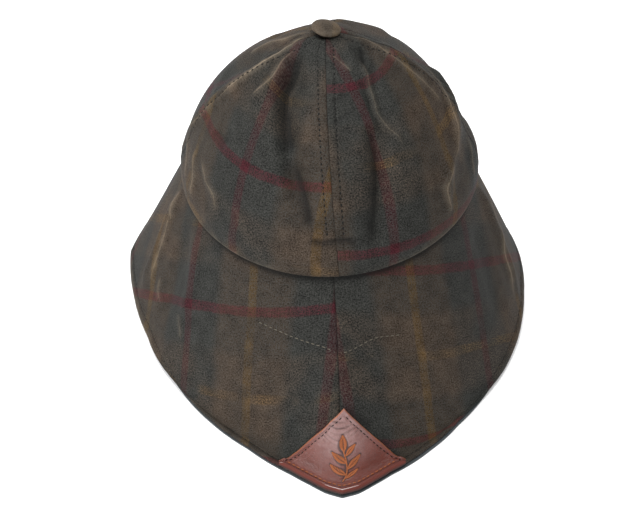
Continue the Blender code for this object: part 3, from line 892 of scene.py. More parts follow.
# %% Leather
def patch_leather():
    """Reads the patch's own map: across from its middle line and up from the hem."""
    paint = Paint("grained_leather")
    flat = paint.cloth()
    cells = paint.node(
        "ShaderNodeTexVoronoi", {"feature": "DISTANCE_TO_EDGE"}, {"Vector": flat, "Scale": 950.0})
    cloud = paint.noise(flat, 70.0, 3.0, 0.55)
    pores = paint.noise(flat, 1500.0, 2.0)
    color = paint.mixed(cloud.over(0.25, 0.75), (0.094, 0.018, 0.010, 1.0), (0.142, 0.032, 0.020, 1.0))
    grain = cells.over(0.0, 0.16)
    color = paint.mixed(0.30 - grain * 0.30, color, (0.028, 0.007, 0.006, 1.0))
    creased = paint.noise(flat, 260.0, 4.0, 0.6)
    # A painted sheen: the upper middle of the patch is mixed towards pale pink, broken up by the creases
    off_middle = abs(paint.axis(flat, 0)).over(0.0020, 0.0200)
    painted_sheen = paint.axis(flat, 1).over(0.0180, 0.0400) * (1.0 - off_middle)
    color = paint.mixed(painted_sheen * (creased * 1.05 + 0.05), color, (0.300, 0.190, 0.182, 1.0))
    # Painted shade: the furrows across the top corner are mixed towards near black
    color = paint.mixed(paint.attribute("furrow") * 0.90, color, (0.034, 0.010, 0.008, 1.0))
    cut = 1.0 - paint.attribute("cut_distance").over(0.00020, 0.00065)
    color = paint.mixed(cut * (pores * 0.7 + 0.35), color, (0.280, 0.085, 0.026, 1.0))
    # Painted shade in the narrow groove round the sprig
    sprig_groove_shade = 1.0 - paint.attribute("sewn_distance").over(0.0003, 0.0010)
    color = paint.mixed(sprig_groove_shade * 0.75, color, (0.020, 0.005, 0.004, 1.0))
    along_roll = paint.attribute("roll")
    roll = along_roll.over(0.06, 0.16)
    color = paint.mixed(roll * 0.90, color, (0.092, 0.013, 0.006, 1.0))
    tucked = along_roll.over(0.46, 0.62)
    # Painted shade: the underside of the roll, turned down towards the floor, is mixed towards near black
    color = paint.mixed(along_roll.over(0.70, 0.88) * 0.70, color, (0.016, 0.005, 0.004, 1.0))
    fine = paint.bump(0.5, 0.00025, (grain * 0.6 + pores * 0.25) * (1.0 - roll * 0.85))
    return paint.finish(
        Base_Color=color,
        Roughness=pores * 0.14 + roll * 0.50 + cut * 0.25 + 0.28,
        Specular_IOR_Level=0.50,
        Coat_Weight=roll * (1.0 - tucked),
        Coat_IOR=2.0,
        Coat_Roughness=0.12,
        Normal=paint.bump(0.5, 0.0008, creased * (1.0 - roll), fine),
    )


WAXED = waxed_cotton()
FACING = facing_cotton()
LEATHER_FINISH = patch_leather()
DARK_THREAD = thread("dark_thread", (0.0020, 0.0020, 0.0018), (0.0080, 0.0075, 0.0065))
PALE_THREAD = thread("pale_thread", (0.060, 0.054, 0.042), (0.150, 0.132, 0.100))
ORANGE_THREAD = thread("orange_thread", (0.205, 0.060, 0.022), (0.370, 0.128, 0.052))
print("finishes:", ", ".join(sorted(material.name for material in bpy.data.materials)))

# %% [markdown]
# The crown is four panels. Each is cut so that the tartan's lines run up and across it, and the lines
# don't meet at every seam, as on the real hat. Two plies of cloth are turned under beside each seam
# and sewn down 5 mm away, which shows as a raised band with a ditch in its middle.

# %% How the tartan lies on each crown panel
# The seams of each panel, and for each way of the cloth: where a line lies, its lean and the repeat
CROWN_TARTAN = {
    "crown_back_left": ("left", "back", 0.003, -0.16, 0.102, 0.0505, 0.0, 0.091),
    "crown_back_right": ("back", "right", -0.0245, 0.19, 0.097, 0.008, -0.10, 0.093),
    "crown_front_right": ("right", "front", -0.038, 0.0, 0.098, 0.034, 0.0, 0.093),
    "crown_front_left": ("front", "left", 0.0500, 0.0, 0.100, 0.0465, 0.0, 0.092),
}


def on_tartan(x, y, laid, middle=0.0):
    """A place on the flat cloth as the finish reads it, with the tartan laid as the panel has it."""
    line_x, lean_x, repeat_x, line_y, lean_y, repeat_y = laid
    across = (x - line_x - lean_x * (y - middle)) / repeat_x
    return np.stack([across, (y - line_y - lean_y * x) / repeat_y], -1) * TARTAN


# %% One layer of a crown panel
SEAM_BAND = np.array((
    (0.0, -0.16), (0.4, -0.04), (0.9, 0.10), (1.8, 0.20), (3.2, 0.24),
    (4.3, 0.16), (5.0, -0.22), (5.7, 0.04), (6.6, 0.10), (8.2, 0.0))) * MM
RIM_ROLL = np.array(((0.0, 0.0), (0.8, 0.35), (1.8, 0.60), (3.0, 0.50), (4.6, 0.10), (6.0, 0.0))) * MM
PUCKER = 0.00010
SEAM_ROW = 0.005
SEAM_GATHER = 0.0032
SEAM_FILL = 0.75
BAND_EASE = 0.006

crown_paths = fold_paths(CROWN_FOLDS, crown_skin, CROWN_HEIGHT)
crown_lines = crease_paths(CROWN_CREASES, crown_skin)


def puckers(run):
    """The small uneven gathers that a row of stitches makes, along a distance."""
    return np.sin(run / 0.00105) + 0.7 * np.sin(run / 0.00171 + 1.3) + 0.6 * np.sin(run / 0.0032 + 4.0)


def middle_line(start, end):
    """The same as meridian(), on a panel's middle line."""
    low, high, _ = panel_edges(start, end, 0.5)
    return meridian((low + high) / 2)


def crown_layer(start, end, inset, up, side):
    """Points of a panel's wall, this far in from its first seam: side 0 is the inner skin, 1 the outer."""
    low, high, width = panel_edges(start, end, up)
    angle = mix(low, high, inset / width)
    levels, lengths = middle_line(start, end)
    run = np.interp(up, levels, lengths)
    top = np.interp(TOP_LEVEL, levels, lengths)
    edge = np.minimum(inset, width - inset)
    narrow = narrowing(width, SEAM_STEPS[-1])
    gathers = PUCKER * puckers(run) * bell(edge - SEAM_ROW, SEAM_GATHER)
    band = np.interp(edge / narrow, SEAM_BAND[:, 0], SEAM_BAND[:, 1]) + gathers
    roll = np.interp(run, RIM_ROLL[:, 0], RIM_ROLL[:, 1])
    joined = mix(rounding(edge, CLOTH / 2), 1.0, SEAM_FILL)
    left = np.minimum(np.minimum(joined, rounding(top - run, CLOTH / 2)), rounding(run, CLOTH))
    out = CLOTH / 2 * (np.where(side > 0.5, 1.0, -1.0) * left - 1.0)
    out = out + np.where(side > 0.5, (band * smooth(run / BAND_EASE) + roll) * left, 0.0)
    skin = crown_skin(angle, up)
    normal = normal_of(crown_skin, angle, up)
    lift, distance, strength, hollow = crease_relief(skin, normal, crown_lines)
    rise = (fold_height(skin, normal, crown_paths) + lift) * smooth(up / CROWN_EASE)
    spot = in_world(skin + normal * (rise + out)[..., None])
    facts = {"wear_distance": distance, "wear_strength": strength * side,
             "seam_distance": edge, "hollow": hollow * side}
    return spot, in_world(normal) - in_world(np.zeros(3)), angle, facts


TOP_LEVEL = math.acos((TOP_HOLE / (HEAD_WIDTH / 2)) ** (ROUND_BACK / 2)) / (math.pi / 2)
print(f"the crown's cloth runs {1000 * middle_line('left', 'back')[1][-1]:.0f} mm from rim to button")

# %% The four panels
CROWN_COLUMNS = 134
CROWN_ROWS = 112
RIM_WEAR = 0.30
RIM_WEAR_LINE = 0.0021
RIM_WEAR_GAP = 20.0
PANEL_MIDDLE = 0.04


def uneven(angle):
    """A strength that comes and goes round the rim."""
    return 0.6 + 0.4 * np.sin(angle * 0.9) * np.sin(angle * 0.37)


def crown_panel(name, start, end, *laid):
    def place(across, along, side):
        levels, lengths = middle_line(start, end)
        top = np.interp(TOP_LEVEL, levels, lengths)
        up = np.interp(stepped(along, CROWN_ROWS, top, RIM_STEPS, PLAIN_STEPS), lengths, levels)
        width = panel_edges(start, end, up)[2]
        inset = stepped(across, CROWN_COLUMNS, width, SEAM_STEPS, SEAM_STEPS)
        spot, _, angle, facts = crown_layer(start, end, inset, up, side)
        off_line = np.interp(up, levels, lengths) - RIM_WEAR_LINE
        off_seam = smooth(abs(wrapped(angle)) / RIM_WEAR_GAP - 0.5)
        wear = RIM_WEAR * uneven(angle) * side
        rim = wear * np.clip(1.0 - abs(off_line) / WEAR_REACH, 0.0, 1.0) * off_seam
        facts["wear_distance"] = np.where(rim > facts["wear_strength"], off_line, facts["wear_distance"])
        facts["wear_strength"] = np.maximum(rim, facts["wear_strength"])
        return spot, on_tartan(*crown_cloth(start, end, angle, up), laid, PANEL_MIDDLE), facts

    made = cloth_wall(name + "_cloth", CROWN_COLUMNS, CROWN_ROWS, place)
    made.data.materials.append(WAXED)
    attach(made, "root")
    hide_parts(name)
    report(made)


for panel_name, laid in CROWN_TARTAN.items():
    crown_panel(panel_name, *laid)

# %% [markdown]
# The brim is two halves that meet at the centre back. Both skins follow the same folds, so the facing
# under the hem fits inside. The hem is a turned edge: it is puffy, and a row of stitches 6 mm in from
# it pulls a groove.

# %% One layer of the brim and of the facing under it
HEM_BAND = np.array((
    (0.0, 0.0), (0.8, 0.30), (1.8, 0.50), (3.4, 0.50),
    (4.8, 0.25), (6.0, -0.30), (6.9, 0.02), (8.8, 0.0))) * MM
DITCH = np.array(((0.0, -0.45), (0.4, -0.20), (0.9, 0.02), (2.0, 0.16), (4.5, 0.12), (7.0, 0.0))) * MM
HEM_ROW = 0.006
HEM_GATHER = 0.0034
DITCH_EASE = 0.004
COLLAR_ROWS = 3
SEAM_LEAN = 1.4
SEAM_LEAN_SPREAD = 24.0
RIM_SHADE = 1.15
RIM_SHADE_START = 0.0018
RIM_SHADE_REACH = 0.0026
BRIM_COLUMNS = 262
BRIM_ROWS = 92
FACING_ROWS = 16
SEAM_DEGREES = np.array((0.0, 0.10, 0.25, 0.45, 0.75, 1.2, 1.8, 2.6))

brim_paths = fold_paths(BRIM_FOLDS, brim_skin, TAIL_FLARE)
brim_lines = crease_paths(BRIM_CREASES, brim_skin)


def hem_length(angle):
    """The distance round the hem from the back to an angle, on the same side."""
    around = abs(wrapped(angle))
    left, right = (np.interp(around, HALF_ROUND, run_along(hem_line(HALF_ROUND * side)))
                   for side in (-1.0, 1.0))
    return np.where(angle < 0, left, right)


def brim_columns(side_of_hat, across, columns):
    """The angle of a column, from the seam at the back to the one at the front."""
    return side_of_hat * stepped(across, columns, np.full(len(across), 180.0), SEAM_DEGREES, SEAM_DEGREES)


def leaned(angle, down):
    """The centre back seam runs a little to the right at the top of the brim."""
    return angle + SEAM_LEAN * (1.0 - np.clip(down, 0.0, 1.0)) * bell(angle, SEAM_LEAN_SPREAD)


def hem_show(angle):
    """How far the facing shows below the outer cloth."""
    return np.where(angle < 0, *HEM_SHOW)


def folded_brim(skin, normal, down, out):
    """Points this far outside the brim's inner face once it is folded and creased, and the worn lines
    and hollows there."""
    lift, *marks = crease_relief(skin, normal, brim_lines)
    ease = smooth(down / COLLAR_EASE) * smooth((1.0 - down) / HEM_EASE)
    spot = skin + normal * ((fold_height(skin, normal, brim_paths) + lift) * ease + out)[..., None]
    spot[..., 2] = np.maximum(spot[..., 2], np.maximum(out, 0.0) * np.maximum(normal[..., 2], 0.0))
    return spot, marks


def brim_layer(angle, down, side):
    """Points of the brim's outer cloth: side 0 is its inner skin, 1 the outer."""
    length = brim_length(angle)
    from_hem = (1.0 - down) * length - hem_show(angle)
    level = np.clip(down, 0.0, 1.0)
    round_rim = mix(ring_length(abs(wrapped(angle))), hem_length(angle), level)
    round_front = mix(ring_length(180.0), hem_length(np.sign(angle) * 180.0), level)
    seam = np.minimum(round_rim, round_front - round_rim)
    gathers = PUCKER * puckers(round_rim) * bell(from_hem - HEM_ROW, HEM_GATHER)
    band = np.interp(from_hem, HEM_BAND[:, 0], HEM_BAND[:, 1]) + gathers
    band = band + np.interp(seam, DITCH[:, 0], DITCH[:, 1]) * smooth(from_hem / DITCH_EASE)
    left = np.minimum(rounding(from_hem, CLOTH / 2), mix(rounding(seam, CLOTH / 2), 1.0, SEAM_FILL))
    outer = np.where(side > 0.5, 1.0, -1.0)
    out = FACING_CLOTH + LAYER_GAP + CLOTH / 2 * (1.0 + outer * left)
    out = out + np.where((side > 0.5) & (down > 0), band * left, 0.0)
    skin = brim_skin(leaned(angle, down), down)
    normal = -normal_of(brim_skin, leaned(angle, down), down)
    spot, (distance, strength, hollow) = folded_brim(skin, normal, down, out)
    shade = RIM_SHADE * np.clip(1.0 - (down * length - RIM_SHADE_START) / RIM_SHADE_REACH, 0.0, 1.0)
    facts = {"wear_distance": distance, "wear_strength": strength * side,
             "seam_distance": seam, "hollow": np.maximum(hollow, shade) * side}
    return spot, normal, facts


# %% The two halves of the brim
BRIM_TARTAN = {
    -1: (0.0036, 0.166, 0.0938, -0.0166, 0.05, 0.0902),
    1: (-0.0055, -0.147, 0.0986, 0.0037, -0.13, 0.0904),
}


def brim_half(name, side_of_hat):
    flat = unrolled(side_of_hat)
    fall_rows = BRIM_ROWS - COLLAR_ROWS

    def place(across, along, side):
        angle = brim_columns(side_of_hat, across, BRIM_COLUMNS)
        length = brim_length(angle)
        row = np.rint(along * BRIM_ROWS)
        share = np.maximum((row - COLLAR_ROWS) / fall_rows, 0.0)
        run = stepped(share, fall_rows, length - hem_show(angle), PLAIN_STEPS, HEM_STEPS)
        down = np.where(row < COLLAR_ROWS, row / COLLAR_ROWS - 1.0, run / length)
        spot, _, facts = brim_layer(angle, down, side)
        x, y = brim_cloth(flat, side_of_hat * angle, down)
        return spot, on_tartan(x, y, BRIM_TARTAN[side_of_hat]), facts

    made = cloth_wall(name + "_cloth", BRIM_COLUMNS, BRIM_ROWS, place)
    made.data.materials.append(WAXED)
    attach(made, "root")
    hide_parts(name)
    report(made)


brim_half("brim_left", -1)
brim_half("brim_right", 1)

# %% The facing under the hem
def hem_facing(name, side_of_hat):
    def place(across, along, side):
        angle = brim_columns(side_of_hat, across, BRIM_COLUMNS)
        length = brim_length(angle)
        width = np.full(len(angle), FACING_WIDTH)
        run = stepped(along, FACING_ROWS, width, PLAIN_STEPS, PLAIN_STEPS)
        down = 1.0 - (FACING_WIDTH - run) / length
        left = rounding(np.minimum(run, FACING_WIDTH - run), FACING_CLOTH / 2)
        out = FACING_CLOTH / 2 * (1.0 + np.where(side > 0.5, 1.0, -1.0) * left)
        spot, _ = folded_brim(brim_skin(angle, down), -normal_of(brim_skin, angle, down), down, out)
        return spot, np.stack([hem_length(angle), run], -1), {}

    made = cloth_wall(name + "_cloth", BRIM_COLUMNS, FACING_ROWS, place)
    made.data.materials.append(FACING)
    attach(made, "root")
    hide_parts(name)
    report(made)


hem_facing("hem_facing_left", -1)
hem_facing("hem_facing_right", 1)

# %% [markdown]
# The patch is a kite of leather. Its two upper sides are cut, and show a tan edge with a pressed groove
# and a row of stitches inside it. Its two lower sides are rolled round the hem, so they swell and
# catch the light.

# %% The plan of the embroidered sprig, across from the patch's middle and up from its hem
SPRIG_FOOT = 0.0125
SPRIG_TOP = 0.0350
STEM_BEND = 0.0016
STEM_END = 0.92
STEM_WIDTH = 0.4 * MM
LEAF_TURN = math.radians(47.0)
LEAF_REACH = 1.12

# Each leaf: where it leaves the stem, its side, its length and its width in mm
LEAVES = [
    (0.16, 1, 7.6, 3.3), (0.30, -1, 8.2, 3.6), (0.46, 1, 7.8, 3.4),
    (0.60, -1, 7.2, 3.1), (0.76, 1, 6.2, 2.7)]
TOP_LEAF = (0.84, np.array((-0.08, 1.0)), 7.5, 3.3)


def stem_point(share):
    """A gently bent stem, from its foot to its top."""
    bend = STEM_BEND * math.sin(math.pi * share * 1.15)
    return np.array((bend, mix(SPRIG_FOOT, SPRIG_TOP, share)))


def leaf_plan():
    """Each leaf as its base, direction, length and width."""
    plan = [(share, np.array((side * math.sin(LEAF_TURN), math.cos(LEAF_TURN))), *size)
            for share, side, *size in LEAVES]
    return [(stem_point(share), direction, length * MM, width * MM)
            for share, direction, length, width in [*plan, TOP_LEAF]]


def leaf_half(share, width):
    """Half the width of a leaf at a share of its length."""
    return width / 2 * np.sin(np.pi * np.clip(share, 0.0, 1.0) ** 0.8) ** 0.85


def from_sprig(x, y):
    """How far each point of the patch lies outside the sprig."""
    nearest = np.full(len(x), 1.0)
    for share in np.linspace(0.0, STEM_END, 24):
        spot = stem_point(share)
        nearest = np.minimum(nearest, np.hypot(x - spot[0], y - spot[1]) - STEM_WIDTH)
    for base, direction, length, width in leaf_plan():
        along = (x - base[0]) * direction[0] + (y - base[1]) * direction[1]
        aside = abs((x - base[0]) * direction[1] - (y - base[1]) * direction[0])
        past = np.maximum(np.maximum(-along, along - LEAF_REACH * length), 0.0)
        beside = np.maximum(aside - leaf_half(along / length, width), 0.0)
        nearest = np.minimum(nearest, np.hypot(beside, past))
    return nearest


# %% One layer of the leather patch
PATCH_HALF_WIDTH = 0.0365
PATCH_OUTLINE = [
    (0.0, 52.0), (0.2, 43.2), (0.4, 34.8), (0.6, 26.2), (0.7, 21.6),
    (0.8, 15.6), (0.9, 9.0), (0.97, 4.2), (1.0, 2.2)]
PATCH_CORNER = 0.0012
PATCH_CLEARANCE = 0.0005
PRESS_DEPTH = 0.00022
PRESS_EASE = 0.002
SPRIG_PRESS = 0.0004
SPRIG_PRESS_WIDTH = 0.0006
ROLL_SHARE = 0.68
CUT_BAND = np.array((
    (0.0, -0.10), (0.4, 0.10), (1.0, 0.12), (1.5, -0.22),
    (1.9, -0.28), (2.3, -0.12), (3.2, 0.02), (5.0, 0.0))) * MM
PATCH_LEAN = 0.058
FURROW_DEPTH = 0.00022
FURROW_PITCH = 0.0025
FURROW_BOW = 48.0
FURROW_SWAY = 0.0006
FURROW_START = 0.0330
FURROW_END = 0.0492
FURROW_EASE = (0.0070, 0.0020)
CLOTH_FACE = FACING_CLOTH + LAYER_GAP + CLOTH

# The rolled lower edge, in mm: how far along it, then the outer skin's distance up from the hem and out
# from the brim's inner face, then the inner skin's. Where the patch is lower than ROLL_FADE times the
# roll, towards the corners, the roll is smaller
ROLL_HEIGHT = 0.0066
ROLL_FADE = 1.4
ROLL_PROFILE = [
    (0.00, 6.60, 5.00, 6.60, 3.60),
    (0.08, 6.05, 4.60, 6.05, 3.60),
    (0.15, 5.65, 4.80, 5.50, 3.60),
    (0.25, 5.00, 5.40, 4.70, 3.60),
    (0.37, 4.05, 5.85, 3.80, 3.60),
    (0.50, 2.95, 5.95, 2.90, 3.60),
    (0.62, 1.95, 5.70, 2.10, 3.60),
    (0.73, 1.15, 5.15, 1.50, 3.60),
    (0.83, 0.60, 4.50, 1.20, 3.60),
    (0.92, 0.35, 3.95, 1.05, 3.55),
    (1.00, 0.45, 3.45, 0.95, 3.40),
]


def tail_angle(across, down):
    """The angle at which the brim stands this far to the right of its centre back seam."""
    low, high = np.full_like(across, -60.0), np.full_like(across, 60.0)
    seam = brim_skin(np.zeros_like(across), down)[..., 0]
    for _ in range(30):
        middle = (low + high) / 2
        short = brim_skin(middle, down)[..., 0] - seam < across
        low, high = np.where(short, middle, low), np.where(short, high, middle)
    return (low + high) / 2


def patch_height(x):
    """How far up from the hem the cut edge is. It looks straight on the bent brim."""
    return read_line(PATCH_OUTLINE, abs(x) / PATCH_HALF_WIDTH, 1) * MM


def slant_of(x):
    """The distance square to the cut edge for each unit up from it."""
    fall = (patch_height(abs(x)) - patch_height(abs(x) + MM)) / MM
    return 1.0 / np.hypot(1.0, fall)


def roll_size(height):
    return np.minimum(1.0, height / (ROLL_FADE * ROLL_HEIGHT))


def patch_along(x, from_hem):
    """Where a height above the roll lies along the patch."""
    height = patch_height(x)
    return ROLL_SHARE * (height - from_hem) / (height - roll_size(height) * ROLL_HEIGHT)


def round_roll(along):
    """How far round the roll a place lies, from 0 at its top to 1 at its end."""
    return np.clip((along - ROLL_SHARE) / (1.0 - ROLL_SHARE), 0.0, 1.0)


def furrows(x, from_hem):
    """The wrinkles across the patch's top corner: 1 in the middle of a furrow, 0 between them."""
    bent = from_hem - FURROW_BOW * x**2 + FURROW_SWAY * np.sin(x / 0.0031 + from_hem / 0.0042)
    ends = (smooth((from_hem - FURROW_START) / FURROW_EASE[0])
            * smooth((FURROW_END - from_hem) / FURROW_EASE[1]))
    broken = 0.62 + 0.38 * np.sin(x / 0.0036 + from_hem / 0.0013)
    return np.maximum(np.cos(math.tau * bent / FURROW_PITCH), 0.0) ** 2 * ends * broken


def patch_layer(x, along, side):
    """Points of the leather, across from its middle line and along from its cut edge at 0 through the top
    of the roll at ROLL_SHARE to the end of the roll at 1."""
    height = patch_height(x)
    small = roll_size(height)
    up, out, hidden_up, hidden_out = (read_curve(ROLL_PROFILE, round_roll(along), column) * MM
                                      for column in (1, 2, 3, 4))
    low = small * ROLL_HEIGHT
    above = along < ROLL_SHARE
    rolled = np.where(side > 0.5, up, hidden_up) * small
    from_hem = np.where(above, mix(height, low, along / ROLL_SHARE), rolled)
    inner = CLOTH_FACE + PATCH_CLEARANCE
    outer = inner + LEATHER
    cut = np.where(above, np.maximum(height - from_hem, 0.0) * slant_of(x), height - low)
    press = np.interp(cut, CUT_BAND[:, 0], CUT_BAND[:, 1])
    press = press - PRESS_DEPTH * bell(from_sprig(x, from_hem) - SPRIG_PRESS, SPRIG_PRESS_WIDTH)
    press = press - FURROW_DEPTH * furrows(x, from_hem)
    press = press * smooth((from_hem - low) / PRESS_EASE)
    top = np.where(above, outer + press, mix(outer, out, small))
    bottom = np.where(above, inner, mix(inner, hidden_out, small))
    middle = (top + bottom) / 2
    out = middle + (np.where(side > 0.5, top, bottom) - middle) * rounding(cut, LEATHER / 2)
    foot, half = (brim_skin(tail_angle(x, down), down) for down in (np.ones_like(x), np.full_like(x, 0.5)))
    level = 1.0 - 0.5 * from_hem / np.linalg.norm(foot - half, axis=-1)
    angle = tail_angle(x + PATCH_LEAN * from_hem, np.minimum(level, 1.0))
    normal = -normal_of(brim_skin, angle, np.minimum(level, 1.0 - PROBE))
    spot, _ = folded_brim(brim_skin(angle, level), normal, level, out)
    return spot, normal, cut, from_hem


# %% The patch
PATCH_COLUMNS = 128
PATCH_ROWS = 160


def tip_patch():
    def place(across, along, side):
        x = (PATCH_HALF_WIDTH - PATCH_CORNER) * (2 * across - 1)
        spot, _, cut, from_hem = patch_layer(x, along, side)
        facts = {"cut_distance": cut, "sewn_distance": from_sprig(x, from_hem),
                 "roll": round_roll(along), "furrow": furrows(x, from_hem)}
        return spot, np.stack([x, from_hem], -1), facts

    made = cloth_wall("tip_patch_leather", PATCH_COLUMNS, PATCH_ROWS, place)
    made.data.materials.append(LEATHER_FINISH)
    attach(made, "root")
    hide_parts("tip_patch")
    report(made)


tip_patch()

# %% [markdown]
# The button is a shell covered with the same cloth. A profile spun round the crown's axis gives the
# dome, and the cloth is gathered under its edge.

# %% The covered button
BUTTON_RADIUS = 0.0083
BUTTON_DOME = 0.0030
BUTTON_LIFT = 0.0010
BUTTON_TILT = 12.0
SHANK_RADIUS = 0.0034
SHANK_LENGTH = 0.0060
BUTTON_STEPS = 72
BUTTON_GATHER = 0.00008
BUTTON_SEAT = (0.45, 0.65, 0.82)
BUTTON_CLEARANCE = 0.0004
BUTTON_CLOTH = (0.0412, 0.030)
BUTTON_WEAR = 0.6
BUTTON_WEAR_NEAR = 0.0007
BUTTON_WEAR_SLOPE = 0.3
BUTTON_PROFILE = [
    (0.93, 0.10), (0.985, 0.20), (1.00, 0.36), (0.99, 0.52), (0.955, 0.66), (0.90, 0.75), (0.80, 0.84),
    (0.66, 0.90), (0.50, 0.95), (0.34, 0.98), (0.17, 1.00), (0.0, 1.005)]


def top_button():
    shape = bmesh.new()
    apex = CROWN_HEIGHT + PEAK_HEIGHT
    seat = [(out, float(crown_height(out / (HEAD_WIDTH / 2), 0.0) - apex) + BUTTON_CLEARANCE)
            for out in (share * BUTTON_RADIUS for share in BUTTON_SEAT)]
    profile = [(0.0, -SHANK_LENGTH), (SHANK_RADIUS, -SHANK_LENGTH), *seat]
    profile += [(BUTTON_RADIUS * out, BUTTON_DOME * height) for out, height in BUTTON_PROFILE]
    points_of = [shape.verts.new((radius, 0, height)) for radius, height in profile]
    edges = [shape.edges.new(pair) for pair in zip(points_of, points_of[1:])]
    bmesh.ops.spin(shape, geom=points_of + edges, axis=(0, 0, 1), cent=(0, 0, 0), angle=math.tau,
                   steps=BUTTON_STEPS, use_merge=True)
    bmesh.ops.remove_doubles(shape, verts=shape.verts, dist=0.00002)
    bmesh.ops.recalc_face_normals(shape, faces=shape.faces)
    flat = np.array([vertex.co for vertex in shape.verts])
    turn = np.arctan2(flat[:, 1], flat[:, 0])
    out = np.hypot(flat[:, 0], flat[:, 1])
    wave = np.sin(9 * turn + 0.6) + 0.6 * np.sin(14 * turn)
    gather = BUTTON_GATHER * wave * smooth(out / BUTTON_RADIUS - 0.55)
    tilt = np.array(Matrix.Rotation(math.radians(BUTTON_TILT), 3, "Y"))
    above = flat[:, 2:] > -SHANK_LENGTH / 2
    tilted = np.where(above, flat @ tilt.T + np.array((0, 0, BUTTON_LIFT)), flat)
    spots = in_world(tilted * (1 + gather[:, None] / BUTTON_RADIUS) + np.array((0, 0, apex)))
    for vertex, spot in zip(shape.verts, spots):
        vertex.co = spot
    made = finished("top_button_cover", shape)
    lay_cloth(made.data, flat[:, :2] + np.array(BUTTON_CLOTH), {
        "wear_distance": BUTTON_WEAR_NEAR + BUTTON_WEAR_SLOPE * (BUTTON_RADIUS - out),
        "wear_strength": BUTTON_WEAR * (flat[:, 2] > 0),
        "seam_distance": 1.0 + out,
    })
    made.data.materials.append(WAXED)
    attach(made, "root")
    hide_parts("top_button")
    report(made)


top_button()

# %% [markdown]
# Stitches are what tells a sewn thing from a moulded one. Each is a small flattened bead, sunk a little
# into the cloth, with a space after it where the thread goes down. A long row is one piece.

# %% Sewing a row of stitches
# Each kind of stitch: pitch, length, width and height in mm, and the share of its height that is sunk
SEAM_STITCH = (3.2, 1.6, 1.20, 0.50, 0.30)
HEM_STITCH = (3.2, 2.2, 0.50, 0.32, 0.25)
TACK_STITCH = (3.2, 2.1, 0.55, 0.36, 0.25)
CUT_STITCH = (2.9, 1.9, 0.60, 0.44, 0.25)
ROLL_STITCH = (2.9, 2.0, 0.75, 0.60, 0.25)
STITCH_START = 0.3


def sew(shape, line, normals, stitch):
    """Beads along a line of points."""
    pitch, length, width, height = (size * MM for size in stitch[:4])
    run = run_along(line)

    def at(place, table):
        return Vector([np.interp(place, run, table[:, axis]) for axis in range(3)])

    for start in np.arange(STITCH_START * pitch, run[-1] - length, pitch):
        middle = at(start + length / 2, normals)
        bead(shape, at(start, line), at(start + length, line), middle, width, height, stitch[4])


def bead(shape, first, last, normal, width, height, sink):
    """One stitch from point to point, lying on a surface with this normal."""
    along = last - first
    upward = (normal - along * normal.dot(along) / along.length_squared).normalized()
    sideways = upward.cross(along).normalized()
    centre = (first + last) / 2 + upward * height * (0.5 - sink)
    axes = Matrix((sideways * width / 2, upward * height / 2, along / 2)).transposed().to_4x4()
    bmesh.ops.create_uvsphere(shape, u_segments=6, v_segments=5, radius=1.0,
                              matrix=Matrix.Translation(centre) @ axes)


def sewn(name, shape, finish):
    made = finished(name, shape)
    made.data.materials.append(finish)
    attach(made, "root")
    report(made)


# %% Rows on the crown
ROW_FOOT = 0.03
BACK_ROW_FOOT = 0.19
ROW_TOP = 0.93


def crown_rows():
    shape = bmesh.new()
    for start, end in (("left", "back"), ("back", "right"), ("right", "front"), ("front", "left")):
        for seam in (start, end):
            up = np.linspace(BACK_ROW_FOOT if seam == "back" else ROW_FOOT, ROW_TOP, 160)
            width = panel_edges(start, end, up)[2]
            inset = SEAM_ROW * narrowing(width, SEAM_STEPS[-1])
            inset = inset if seam == start else width - inset
            spot, normal, _, _ = crown_layer(start, end, inset, up, np.ones_like(up))
            sew(shape, spot, normal, SEAM_STITCH)
    sewn("crown_stitches", shape, DARK_THREAD)


crown_rows()


# %% Rows on the brim
PATCH_DEGREES = 12.5
HEM_DEGREES = np.concatenate([np.linspace(0.3, 20, 160), np.linspace(20.2, 179, 500)])


def brim_rows():
    dark, pale = bmesh.new(), bmesh.new()
    for side in (-1, 1):
        angle = HEM_DEGREES * side
        down = 1.0 - (HEM_ROW + hem_show(angle)) / brim_length(angle)
        spot, normal, _ = brim_layer(angle, down, np.ones_like(angle))
        beside_patch = abs(angle) > PATCH_DEGREES
        sew(dark, spot[beside_patch], normal[beside_patch], HEM_STITCH)
    for line in ("tack line, left", "tack line, right"):
        rows = np.array(BRIM_CREASES[line][0])
        place = np.linspace(0, len(rows) - 1, 80)
        angle, down = rounded_line(rows[:, 0], place), rounded_line(rows[:, 1], place)
        spot, normal, _ = brim_layer(angle, down, np.ones_like(angle))
        sew(pale, spot, normal, TACK_STITCH)
    sewn("hem_stitches", dark, DARK_THREAD)
    sewn("tack_stitches", pale, PALE_THREAD)


brim_rows()


# %% Rows on the patch
CUT_ROW = 0.0019
CUT_ROW_START = 0.0006
CUT_ROW_END = PATCH_HALF_WIDTH - 0.0040
ROLL_ROW = 0.0069
ROLL_ROW_END = PATCH_HALF_WIDTH - 0.0055


def on_patch(x, from_hem):
    """Points of the leather and its normals, above the roll."""
    return patch_layer(x, patch_along(x, from_hem), np.ones_like(x))[:2]


def patch_rows():
    cut, roll = bmesh.new(), bmesh.new()
    for side in (-1, 1):
        x = np.linspace(CUT_ROW_START, CUT_ROW_END, 120) * side
        sew(cut, *on_patch(x, patch_height(x) - CUT_ROW / slant_of(x)), CUT_STITCH)
    x = np.linspace(-ROLL_ROW_END, ROLL_ROW_END, 240)
    sew(roll, *on_patch(x, np.full_like(x, ROLL_ROW)), ROLL_STITCH)
    sewn("patch_edge_stitches", cut, DARK_THREAD)
    sewn("patch_roll_stitches", roll, ORANGE_THREAD)


patch_rows()

# %% [markdown]
# A small sprig of leaves is worked on the leather. Each leaf is satin stitch: short slanting threads
# laid side by side from its middle vein to its rim.

# %% The embroidered sprig
LEAF_STITCHES = 12
LEAF_SLANT = 0.14
STEM_STITCHES = 15
STEM_OVERLAP = 0.35

